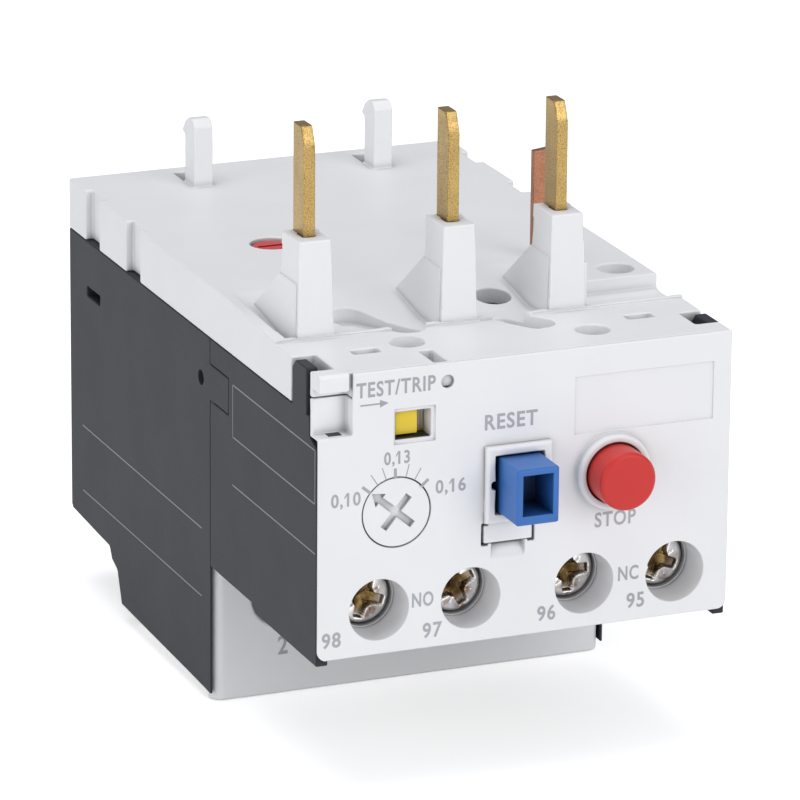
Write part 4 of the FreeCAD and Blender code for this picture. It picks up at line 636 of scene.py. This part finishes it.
# Each dressed node: its finish and the rounding of its edges.
shells = {
    "front_panel": ("pale", 0.14), "reset_bezel": ("pale", 0.16), "top_cover": ("pale", 0.2),
    "terminal_cover": ("cover", 0.35), "front_housing": ("dark", 0.16),
    "rear_housing": ("dark", 0.16), "setting_dial": ("pale", 0.06),
    "reset_button": ("blue", 0.1), "stop_button": ("red", 0.08),
    "line_pin_1": ("brass", 0.12), "line_pin_2": ("brass", 0.12), "line_pin_3": ("brass", 0.12),
    "coil_terminal_blade": ("copper", 0.08), "aux_clamps": ("zinc", 0.15),
    "load_clamps": ("zinc", 0.2), "trip_flag": ("yellow", 0.08),
}
for node, (finishName, radius) in shells.items():
    moulded(node, finishName, radius)
    print("dressed", node)

# Inner pieces keep their solids and get their finish.
plainFinish = {
    "pale_plastic": "pale", "dark_plastic": "dark", "blue_plastic": "blue", "red_plastic": "red",
    "yellow_plastic": "yellow", "green_plastic": "green", "cream_plastic": "cream",
    "black_plastic": "black", "red_paint": "seal", "spring_steel": "steel", "bright_steel": "steel",
    "zinc_steel": "zinc", "gold_brass": "brass", "contact_bronze": "bronze", "copper": "copper",
    "bimetal": "bimetal", "insulation": "glass", "heater_wire": "heater",
}
for node, solid in frame["nodes"].items():
    if node in shells:
        continue
    for number in range(len(solid.material_slots)):
        solid.material_slots[number].material = finishes[plainFinish[slotOf[node]]]
print("inner pieces finished")


# Repeating pieces come from node trees: a template piece is set on points.

def onPoints(name, template, places, material, inputs):
    # Each place is (x, y, z, turn about Y in degrees, scale x, scale z).
    group = bpy.data.node_groups.new(name, "GeometryNodeTree")
    face = group.interface
    face.new_socket("Geometry", in_out="INPUT", socket_type="NodeSocketGeometry")
    face.new_socket("Geometry", in_out="OUTPUT", socket_type="NodeSocketGeometry")
    sockets = {}
    for label, value in inputs.items():
        sockets[label] = face.new_socket(label, in_out="INPUT", socket_type="NodeSocketFloat")
        sockets[label].default_value = value
    nodes, links = group.nodes, group.links
    start = nodes.new("NodeGroupInput")
    end = nodes.new("NodeGroupOutput")
    pointsNode = nodes.new("GeometryNodeMeshToPoints")
    shape = nodes.new("GeometryNodeObjectInfo")
    shape.inputs["Object"].default_value = template
    turn = nodes.new("GeometryNodeInputNamedAttribute")
    turn.data_type = "FLOAT"
    turn.inputs["Name"].default_value = "turn"
    size = nodes.new("GeometryNodeInputNamedAttribute")
    size.data_type = "FLOAT_VECTOR"
    size.inputs["Name"].default_value = "size"
    chance = nodes.new("FunctionNodeRandomValue")
    chance.data_type = "FLOAT"
    chance.inputs["Seed"].default_value = 7
    lower = nodes.new("ShaderNodeMath")
    lower.operation = "MULTIPLY"
    lower.inputs[1].default_value = -1.0
    total = nodes.new("ShaderNodeMath")
    total.operation = "ADD"
    spin = nodes.new("ShaderNodeCombineXYZ")
    grow = nodes.new("ShaderNodeVectorMath")
    grow.operation = "SCALE"
    instances = nodes.new("GeometryNodeInstanceOnPoints")
    realise = nodes.new("GeometryNodeRealizeInstances")
    paint = nodes.new("GeometryNodeSetMaterial")
    paint.inputs["Material"].default_value = material
    links.new(start.outputs["Geometry"], pointsNode.inputs["Mesh"])
    links.new(pointsNode.outputs["Points"], instances.inputs["Points"])
    links.new(shape.outputs["Geometry"], instances.inputs["Instance"])
    links.new(start.outputs["Turn Spread"], lower.inputs[0])
    links.new(lower.outputs[0], chance.inputs[2])
    links.new(start.outputs["Turn Spread"], chance.inputs[3])
    links.new(turn.outputs[0], total.inputs[0])
    links.new(chance.outputs[1], total.inputs[1])
    links.new(total.outputs[0], spin.inputs["Y"])
    links.new(spin.outputs[0], instances.inputs["Rotation"])
    links.new(size.outputs[0], grow.inputs[0])
    links.new(start.outputs["Size"], grow.inputs["Scale"])
    links.new(grow.outputs[0], instances.inputs["Scale"])
    links.new(instances.outputs["Instances"], realise.inputs["Geometry"])
    links.new(realise.outputs["Geometry"], paint.inputs["Geometry"])
    links.new(paint.outputs["Geometry"], end.inputs["Geometry"])

    mesh = bpy.data.meshes.new(name)
    mesh.from_pydata([tuple(at(*place[:3])) for place in places], [], [])
    turns = mesh.attributes.new("turn", "FLOAT", "POINT")
    sizes = mesh.attributes.new("size", "FLOAT_VECTOR", "POINT")
    for number, place in enumerate(places):
        turns.data[number].value = math.radians(place[3])
        sizes.data[number].vector = (place[4], 1.0, place[5])
    piece = bpy.data.objects.new(name, mesh)
    scene.collection.objects.link(piece)
    modifier = piece.modifiers.new("set on points", "NODES")
    modifier.node_group = group
    for label, value in inputs.items():
        modifier[sockets[label].identifier] = value
    bake(piece)
    bpy.data.objects.remove(template)
    return piece


def smoothStep(low, high, value):
    part = max(0.0, min(1.0, (value - low) / (high - low)))
    return part * part * (3 - 2 * part)


# Screw heads and their threaded shanks

def screwHeight(screw, x, z):
    reach = math.hypot(x, z)
    radius = screw["headRadius"]
    height = screw["crown"] * (1 - (reach / radius) ** 2)
    inward = (reach - (radius - screw["rim"])) / screw["rim"]
    if inward > 0:
        height -= screw["rim"] * (1 - math.sqrt(max(0.0, 1 - inward * inward)))
    side = min(abs(x), abs(z))
    along = max(abs(x), abs(z))
    width = screw["armHalf"] * (1.15 - 0.3 * along / screw["armReach"])
    arm = 1 - smoothStep(width - 0.05, width + 0.13, side)
    arm *= 1 - smoothStep(screw["armReach"] - 0.12, screw["armReach"] + 0.1, along)
    floor = screw["recessDeep"] * (1 - 0.45 * along / screw["armReach"])
    pit = 1 - smoothStep(screw["pitRadius"] - 0.12, screw["pitRadius"] + 0.12, reach)
    sunk = max(arm * floor, pit * screw["recessDeep"] * (1 - 0.3 * reach / screw["pitRadius"]))
    groove = 1 - smoothStep(0.03, 0.1, abs(abs(x) - abs(z)) / 1.414)
    groove *= smoothStep(0.9, 1.1, reach) * (1 - smoothStep(1.7, 1.9, reach))
    return height - sunk - 0.1 * groove


def screwTemplate(screw):
    form = bmesh.new()
    rings, sides = screw["rings"], screw["sides"]
    middle = form.verts.new((0, -screwHeight(screw, 0, 0) * mm, 0))
    loops = []
    for ring in range(1, rings + 1):
        reach = screw["headRadius"] * ring / rings
        loop = []
        for side in range(sides):
            angle = 2 * math.pi * side / sides
            x, z = reach * math.cos(angle), reach * math.sin(angle)
            loop.append(form.verts.new((x * mm, -screwHeight(screw, x, z) * mm, z * mm)))
        loops.append(loop)
    skirt = []
    for vertex in loops[-1]:
        skirt.append(form.verts.new((vertex.co.x, screw["thick"] * mm, vertex.co.z)))
    loops.append(skirt)
    for side in range(sides):
        form.faces.new((middle, loops[0][side], loops[0][(side + 1) % sides]))
    for inner, outer in zip(loops, loops[1:]):
        for side in range(sides):
            after = (side + 1) % sides
            form.faces.new((inner[side], outer[side], outer[after], inner[after]))
    form.faces.new(skirt)
    bmesh.ops.recalc_face_normals(form, faces=form.faces)
    return meshPiece("screw_template", form)


def shankTube(form, x, z, near, far, radius, pitch=0.5, sides=28):
    # A threaded shank behind the head: crests and roots follow each other along Y.
    steps = int((far - near) / (pitch / 2))
    rings = []
    for step in range(steps + 1):
        reach = radius - (0.0 if step % 2 else 0.16)
        ring = []
        for side in range(sides):
            angle = 2 * math.pi * side / sides
            y = near + (far - near) * step / steps
            ring.append(form.verts.new(at(x + reach * math.cos(angle), y,
                                          z + reach * math.sin(angle))))
        rings.append(ring)
    joinRings(form, rings)
    form.faces.new(rings[-1])
    form.faces.new(list(reversed(rings[0])))


def makeScrews(name, node, screw):
    places = [(x, screw["face"], screw["up"], turn, 1.0, 1.0)
              for x, turn in zip(screw["across"], screw["turns"])]
    heads = onPoints(f"{name}_heads", screwTemplate(screw), places, finishes["screw"],
                     {"Size": 1.0, "Turn Spread": screw["turnSpread"]})
    smoothFaces(heads)
    heads.data.set_sharp_from_angle(angle=math.radians(60))
    finish(heads, finishes["screw"], bodyOf[node], [node])
    form = bmesh.new()
    for x in screw["across"]:
        shankTube(form, x, screw["up"], screw["face"] + screw["thick"], screw["shankEnd"],
                  screw["shankRadius"])
    bmesh.ops.recalc_face_normals(form, faces=form.faces)
    shanks = meshPiece(f"{name}_shanks", form)
    finish(shanks, finishes["zinc"], bodyOf[node], [node])


makeScrews("aux_screw", "aux_screws", auxScrews)
makeScrews("load_screw", "load_screws", loadScrews)
print("screws made")


# Printing on the panel and the lower cover: plain words and numbers only.

lettering = {
    "lift": 0.012, "bold": 0.02, "spacing": 1.12,
    "arrow": (((-18.05, 41.32), (-15.9, 41.32), (-15.9, 41.48), (-18.05, 41.48)),
              ((-15.95, 41.0), (-15.05, 41.4), (-15.95, 41.8))),
    # word, across, up, height, depth, squeeze
    "words": (
        ("TEST/TRIP", -14.24, 42.97, 1.6, 0.0, 0.8), ("0,13", -14.09, 35.45, 1.6, 0.0, 0.81),
        ("0,10", -19.54, 31.65, 1.68, 0.0, 0.86), ("0,16", -8.26, 31.85, 1.68, 0.0, 0.9),
        ("98", -21.03, 17.11, 1.65, 0.0, 0.89), ("NO", -11.17, 20.25, 1.55, 0.0, 0.7),
        ("97", -10.1, 16.86, 1.65, 0.0, 0.89), ("96", 2.4, 17.06, 1.65, 0.0, 0.89),
        ("NC", 11.43, 20.21, 1.55, 0.0, 0.73), ("95", 12.28, 17.19, 1.65, 0.0, 0.89),
        ("RESET", -1.77, 38.09, 1.65, 0.0, 0.9), ("STOP", 9.86, 26.31, 1.6, 0.0, 0.82),
        ("2", -14.37, 5.45, 2.1, 30.4, 0.8), ("4", 0.1, 5.45, 2.1, 30.4, 0.8),
        ("6", 14.6, 5.45, 2.1, 30.4, 0.8)),
}


def glyphSpans(mesh):
    # The stretches along X that the letters of a word take up, from left to right.
    spans = []
    reaches = []
    for polygon in mesh.polygons:
        across = [mesh.vertices[number].co.x for number in polygon.vertices]
        reaches.append((min(across), max(across)))
    for start, end in sorted(reaches):
        if spans and start <= spans[-1][1] + 1e-4:
            spans[-1][1] = max(spans[-1][1], end)
        else:
            spans.append([start, end])
    return spans


def flagsOfOnes(mesh, word, low, high):
    # The built-in font draws a one as a bare stroke, so each one gets its flag.
    spans = glyphSpans(mesh)
    tall = high - low
    flags = []
    for letter, (left, right) in zip(word, spans):
        if letter == "1" and len(spans) == len(word):
            wide = right - left
            flags.append([(left, high), (left - 1.15 * wide, high - 0.24 * tall),
                          (left - 1.15 * wide, high - 0.24 * tall - 0.8 * wide),
                          (left, high - 1.1 * wide)])
    return flags


def printWord(form, word, x, z, height, depth, squeeze):
    curve = bpy.data.curves.new("word", "FONT")
    curve.body = word
    curve.align_x = "CENTER"
    curve.align_y = "CENTER"
    curve.resolution_u = 4
    curve.offset = lettering["bold"]
    curve.space_character = lettering["spacing"]
    holder = bpy.data.objects.new("word", curve)
    scene.collection.objects.link(holder)
    graph = bpy.context.evaluated_depsgraph_get()
    graph.update()
    mesh = bpy.data.meshes.new_from_object(holder.evaluated_get(graph))
    bpy.data.objects.remove(holder)
    corners = [vertex.co.copy() for vertex in mesh.vertices]
    low = Vector((min(c.x for c in corners), min(c.y for c in corners), 0))
    high = Vector((max(c.x for c in corners), max(c.y for c in corners), 0))
    scale = height / (high.y - low.y)
    middle = (low + high) / 2

    def spot(across, up):
        return form.verts.new(at(x + (across - middle.x) * scale * squeeze,
                                 depth - lettering["lift"], z + (up - middle.y) * scale))

    placed = [spot(corner.x, corner.y) for corner in corners]
    for polygon in mesh.polygons:
        form.faces.new([placed[number] for number in polygon.vertices])
    for flag in flagsOfOnes(mesh, word, low.y, high.y):
        form.faces.new([spot(*corner) for corner in flag])
    bpy.data.meshes.remove(mesh)


def makeLettering():
    for name, front in (("panel_print", True), ("cover_print", False)):
        form = bmesh.new()
        for word, x, z, height, depth, squeeze in lettering["words"]:
            if (depth == 0.0) == front:
                printWord(form, word, x, z, height, depth, squeeze)
        for outline in lettering["arrow"] if front else ():
            form.faces.new([form.verts.new(at(x, -lettering["lift"], z)) for x, z in outline])
        bmesh.ops.recalc_face_normals(form, faces=form.faces)
        for face in form.faces:
            if face.normal.y > 0:
                face.normal_flip()
        piece = meshPiece(name, form)
        finish(piece, finishes["print"], "frame")


makeLettering()

# Ruled lines on the dark side: a bare frame and dividers, each from (depth, height) to another.

sideLines = {
    "lift": 0.006, "width": 0.14,
    "runs": (
        ((0.9, 31.4), (23.8, 31.4)), ((23.8, 31.4), (23.8, 37.0)), ((23.8, 37.0), (0.9, 37.0)),
        ((0.9, 37.0), (0.9, 31.4)), ((0.9, 26.2), (23.8, 26.2)), ((33.0, 18.6), (70.0, 18.6)),
        ((33.0, 11.09), (70.0, 11.09))),
}


def makeSideLines():
    form = bmesh.new()
    half = sideLines["width"] / 2
    side = cadBox[0][0] / mm - sideLines["lift"]
    for (y1, z1), (y2, z2) in sideLines["runs"]:
        low = (min(y1, y2) - half, min(z1, z2) - half)
        high = (max(y1, y2) + half, max(z1, z2) + half)
        corners = ((low[0], low[1]), (low[0], high[1]), (high[0], high[1]), (high[0], low[1]))
        form.faces.new([form.verts.new(at(side, y, z)) for y, z in corners])
    form.normal_update()
    for face in form.faces:
        if face.normal.x > 0:
            face.normal_flip()
    lines = meshPiece("side_lines", form)
    finish(lines, finishes["lines"], "frame")


makeSideLines()

# The dial's scale: marks set round the dial.

dialScale = {
    "centre": (-14.07, 29.8), "lift": 0.012,
    # angle, and how far from the centre the mark begins and ends
    "thick": ((-50.2, 3.67, 4.84), (-2.5, 3.6, 4.65), (47.3, 3.55, 4.6)), "thickWidth": 0.31,
    "thin": ((-33.4, 3.8, 5.1), (-18.1, 3.8, 5.1), (14.8, 3.8, 5.1), (30.5, 3.8, 5.1)),
    "thinWidth": 0.1,
}


def markTemplate():
    form = bmesh.new()
    corners = ((-0.5, -0.5), (0.5, -0.5), (0.5, 0.5), (-0.5, 0.5))
    form.faces.new([form.verts.new((x * mm, 0, z * mm)) for x, z in corners])
    if form.faces[:][0].normal.y > 0:
        form.faces[:][0].normal_flip()
    return meshPiece("mark_template", form)


def makeDialScale():
    x, z = dialScale["centre"]
    places = []
    for kind in ("thick", "thin"):
        for angle, near, far in dialScale[kind]:
            turn = math.radians(angle)
            reach = (near + far) / 2
            places.append((x + reach * math.sin(turn), -dialScale["lift"],
                           z + reach * math.cos(turn), angle, dialScale[kind + "Width"],
                           far - near))
    marks = onPoints("dial_marks", markTemplate(), places, finishes["print"],
                     {"Size": 1.0, "Turn Spread": 0.0})
    finish(marks, finishes["print"], "frame")


makeDialScale()
print("printing done")


def addBox(form, low, high):
    corners = [form.verts.new(at(x, y, z)) for x in (low[0], high[0]) for y in (low[1], high[1])
               for z in (low[2], high[2])]
    for ring in ((0, 1, 3, 2), (4, 6, 7, 5), (0, 4, 5, 1), (2, 3, 7, 6), (0, 2, 6, 4),
                 (1, 5, 7, 3)):
        form.faces.new([corners[number] for number in ring])


# Small fittings seen in the openings: black sheets as painted shade in the window's gap and the
# recess's opening, screw collars, ribs beside the flag.

fittings = {
    # Painted shade: low and high corners of the black sheets in the window's bottom gap and the
    # recess's opening.
    "windowGapShade": ((-14.18, 0.45, 37.302), (-10.37, 2.28, 37.36)),
    "recessOpeningShade": ((-21.2, 0.55, 38.2), (-19.75, 1.62, 38.415)),
    "collarInner": 3.1, "collarOuter": 3.7, "collarFront": 4.22, "collarBack": 6.4,
    "ribs": (-11.15, -10.8, -10.45), "ribBottom": 37.55, "ribHeight": 2.4, "ribWide": 0.3,
    "ribFace": 2.33, "ribThick": 0.05,
}


# Painted shade: thin black plates laid in the window's bottom gap and in the recess's opening,
# where only shade shows.
def makeShadeSheets():
    form = bmesh.new()
    for name in ("windowGapShade", "recessOpeningShade"):
        addBox(form, *fittings[name])
    bmesh.ops.recalc_face_normals(form, faces=form.faces)
    shadeSheets = meshPiece("opening_floors", form)
    softEdges(shadeSheets, 0.02)
    finish(shadeSheets, finishes["black"], "frame")


def makeCollars():
    form = bmesh.new()
    sides = 64
    profile = (("collarInner", "collarFront"), ("collarOuter", "collarFront"),
               ("collarOuter", "collarBack"), ("collarInner", "collarBack"))
    for x in auxScrews["across"]:
        rings = []
        for reach, depth in profile:
            radius, y = fittings[reach], fittings[depth]
            ring = []
            for side in range(sides):
                angle = 2 * math.pi * side / sides
                place = at(x + radius * math.cos(angle), y,
                           auxScrews["up"] + radius * math.sin(angle))
                ring.append(form.verts.new(place))
            rings.append(ring)
        joinRings(form, rings, closed=True)
    bmesh.ops.recalc_face_normals(form, faces=form.faces)
    collars = meshPiece("screw_collars", form)
    softEdges(collars, 0.08)
    finish(collars, finishes["pale"], "frame")


def ribTemplate():
    form = bmesh.new()
    sides = 10
    half, thick, height = fittings["ribWide"] / 2, fittings["ribThick"], fittings["ribHeight"]
    rings = []
    for z in (0, height):
        ring = []
        for side in range(sides + 1):
            angle = math.pi * side / sides
            ring.append(form.verts.new((half * math.cos(angle) * mm, -thick * math.sin(angle) * mm,
                                        z * mm)))
        rings.append(ring)
    for side in range(sides):
        form.faces.new((rings[0][side], rings[0][side + 1], rings[1][side + 1], rings[1][side]))
    form.faces.new((rings[0][0], rings[1][0], rings[1][-1], rings[0][-1]))
    for ring in rings:
        form.faces.new(ring)
    bmesh.ops.recalc_face_normals(form, faces=form.faces)
    return meshPiece("rib_template", form)


def makeRibs():
    depth = fittings["ribFace"] + fittings["ribThick"]
    places = [(x, depth, fittings["ribBottom"], 0.0, 1.0, 1.0) for x in fittings["ribs"]]
    ribs = onPoints("flag_ribs", ribTemplate(), places, finishes["grey"],
                    {"Size": 1.0, "Turn Spread": 0.0})
    finish(ribs, finishes["grey"], "flag")


makeShadeSheets()
makeCollars()
makeRibs()


# Return springs: a wound wire with closed ends.

springs = {
    "travel": {"reset_spring": ("reset_press", 3.0), "stop_spring": ("stop_press", 2.5)},
    "wire": 0.4, "turns": 6.0, "steps": 30, "sides": 10,
    "closedPart": 0.08, "eased": 0.55,
}


def makeSpring(node):
    mesh = frame["nodes"][node].data
    corners = [vertex.co for vertex in mesh.vertices]
    low = [min(corner[n] for corner in corners) for n in range(3)]
    high = [max(corner[n] for corner in corners) for n in range(3)]
    wire = springs["wire"] * mm / 2
    x, z = (low[0] + high[0]) / 2, (low[2] + high[2]) / 2
    radius = min(high[0] - low[0], high[2] - low[2]) / 2 - wire
    length = high[1] - low[1] - 2 * wire
    form = bmesh.new()
    count = int(springs["turns"] * springs["steps"])
    closed, eased = springs["closedPart"], springs["eased"]
    rings = []
    for step in range(count + 1):
        part = step / count
        angle = 2 * math.pi * springs["turns"] * part
        even = max(0.0, min(1.0, (part - closed) / (1 - 2 * closed)))
        rise = smoothStep(closed, 1 - closed, part) * eased + even * (1 - eased)
        middle = Vector((x + radius * math.cos(angle), low[1] + wire + length * rise,
                         z + radius * math.sin(angle)))
        outward = Vector((math.cos(angle), 0, math.sin(angle)))
        ring = []
        for side in range(springs["sides"]):
            turn = 2 * math.pi * side / springs["sides"]
            spot = outward * (wire * math.cos(turn)) + Vector((0, wire * math.sin(turn), 0))
            ring.append(form.verts.new(middle + spot))
        rings.append(ring)
    joinRings(form, rings)
    form.faces.new(rings[0])
    form.faces.new(rings[-1])
    bmesh.ops.recalc_face_normals(form, faces=form.faces)
    coil = meshPiece(f"{node}_coil", form)
    smoothFaces(coil)
    finish(coil, finishes["steel"], bodyOf[node], [node])
    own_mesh(coil)


for node, (joint, travel) in springs["travel"].items():
    makeSpring(node)
print("springs made")


# Camera, lamps and floor

view = {
    "place": (-235.84, -537.57, 228.62), "forward": (0.3634, 0.8799, -0.3062),
    "roll": 0.49, "focalPixels": 6167.14, "imagePixels": 800, "sensor": 36,
}
# Each lamp: its place, the point it lights, its size in metres and its power.
lamps = {
    "top light": ((-60, 60, 620), (0, 35, 25), 0.5, 1.45),
    "front light": ((260, -520, 260), (0, 35, 25), 0.45, 1.42),
    "side light": ((-520, -120, 200), (0, 35, 25), 0.4, 0.6),
    "low light": ((-400, -430, 70), (0, 30, 8), 0.35, 0.5),
}
studio = {
    "floorReach": 3.0, "floorDrop": 0.05, "floorColour": (0.86, 0.86, 0.86), "floorLift": 0.56,
    "skyColour": (0.93, 0.95, 1, 1), "skyStrength": 0.42,
}


def aimedMatrix(place, forward, roll=0.0):
    forward = Vector(forward).normalized()
    right = forward.cross(Vector((0, 0, 1))).normalized()
    up = right.cross(forward)
    lean = math.radians(roll)
    across = right * math.cos(lean) + up * math.sin(lean)
    upward = up * math.cos(lean) - right * math.sin(lean)
    turn = Matrix((across, upward, -forward)).transposed().to_4x4()
    return Matrix.Translation(place) @ turn


cameraData = bpy.data.cameras.new("camera")
cameraData.sensor_width = view["sensor"]
cameraData.lens = view["focalPixels"] / view["imagePixels"] * view["sensor"]
cameraData.clip_start = 0.01
cameraData.clip_end = 20
camera = bpy.data.objects.new("camera", cameraData)
camera.matrix_world = aimedMatrix(at(*view["place"]), view["forward"], view["roll"])
scene.collection.objects.link(camera)
scene.camera = camera


def lamp(name, place, target, size, power):
    data = bpy.data.lights.new(name, "AREA")
    data.shape = "DISK"
    data.size = size
    data.energy = power
    piece = bpy.data.objects.new(name, data)
    start = at(*place)
    piece.matrix_world = aimedMatrix(start, at(*target) - start)
    scene.collection.objects.link(piece)


for name, values in lamps.items():
    lamp(name, *values)


def flatMaterial(name, colour, cameraLift):
    # A pale surface that shows as white to the camera and in reflections, with its shadow.
    material, tree, shader = newMaterial(name)
    grain = noiseOf(tree, 300, 2)
    tone = rampOf(tree, grain.outputs["Fac"], [(0.3, shade(colour, 0.995)), (0.7, colour)])
    tree.links.new(tone.outputs["Color"], shader.inputs["Base Color"])
    shader.inputs["Roughness"].default_value = 0.9
    shader.inputs["Emission Color"].default_value = (1, 1, 1, 1)
    path = tree.nodes.new("ShaderNodeLightPath")
    seen = mathOf(tree, "MAXIMUM", path.outputs["Is Camera Ray"], path.outputs["Is Glossy Ray"])
    tree.links.new(mathOf(tree, "MULTIPLY", seen, cameraLift), shader.inputs["Emission Strength"])
    return material


def floorPiece():
    form = bmesh.new()
    reach = studio["floorReach"]
    form.faces.new([form.verts.new((x * reach, y * reach, -studio["floorDrop"] * mm))
                    for x, y in ((-1, -1), (1, -1), (1, 1), (-1, 1))])
    piece = meshPiece("floor", form)
    piece.data.materials.append(flatMaterial("floor paper", studio["floorColour"],
                                             studio["floorLift"]))


floorPiece()

world = bpy.data.worlds.new("studio")
world.use_nodes = True
scene.world = world
worldTree = world.node_tree
ground = worldTree.nodes["Background"]
ground.inputs["Color"].default_value = studio["skyColour"]
ground.inputs["Strength"].default_value = studio["skyStrength"]
white = worldTree.nodes.new("ShaderNodeBackground")
white.inputs["Color"].default_value = (1, 1, 1, 1)
white.inputs["Strength"].default_value = 1.0
rays = worldTree.nodes.new("ShaderNodeLightPath")
either = mathOf(worldTree, "MAXIMUM", rays.outputs["Is Camera Ray"],
                rays.outputs["Is Transmission Ray"])
choose = worldTree.nodes.new("ShaderNodeMixShader")
worldTree.links.new(either, choose.inputs[0])
worldTree.links.new(ground.outputs[0], choose.inputs[1])
worldTree.links.new(white.outputs[0], choose.inputs[2])
worldTree.links.new(choose.outputs[0], worldTree.nodes["World Output"].inputs["Surface"])

scene.view_settings.view_transform = "Standard"
print("camera, lamps and floor ready")
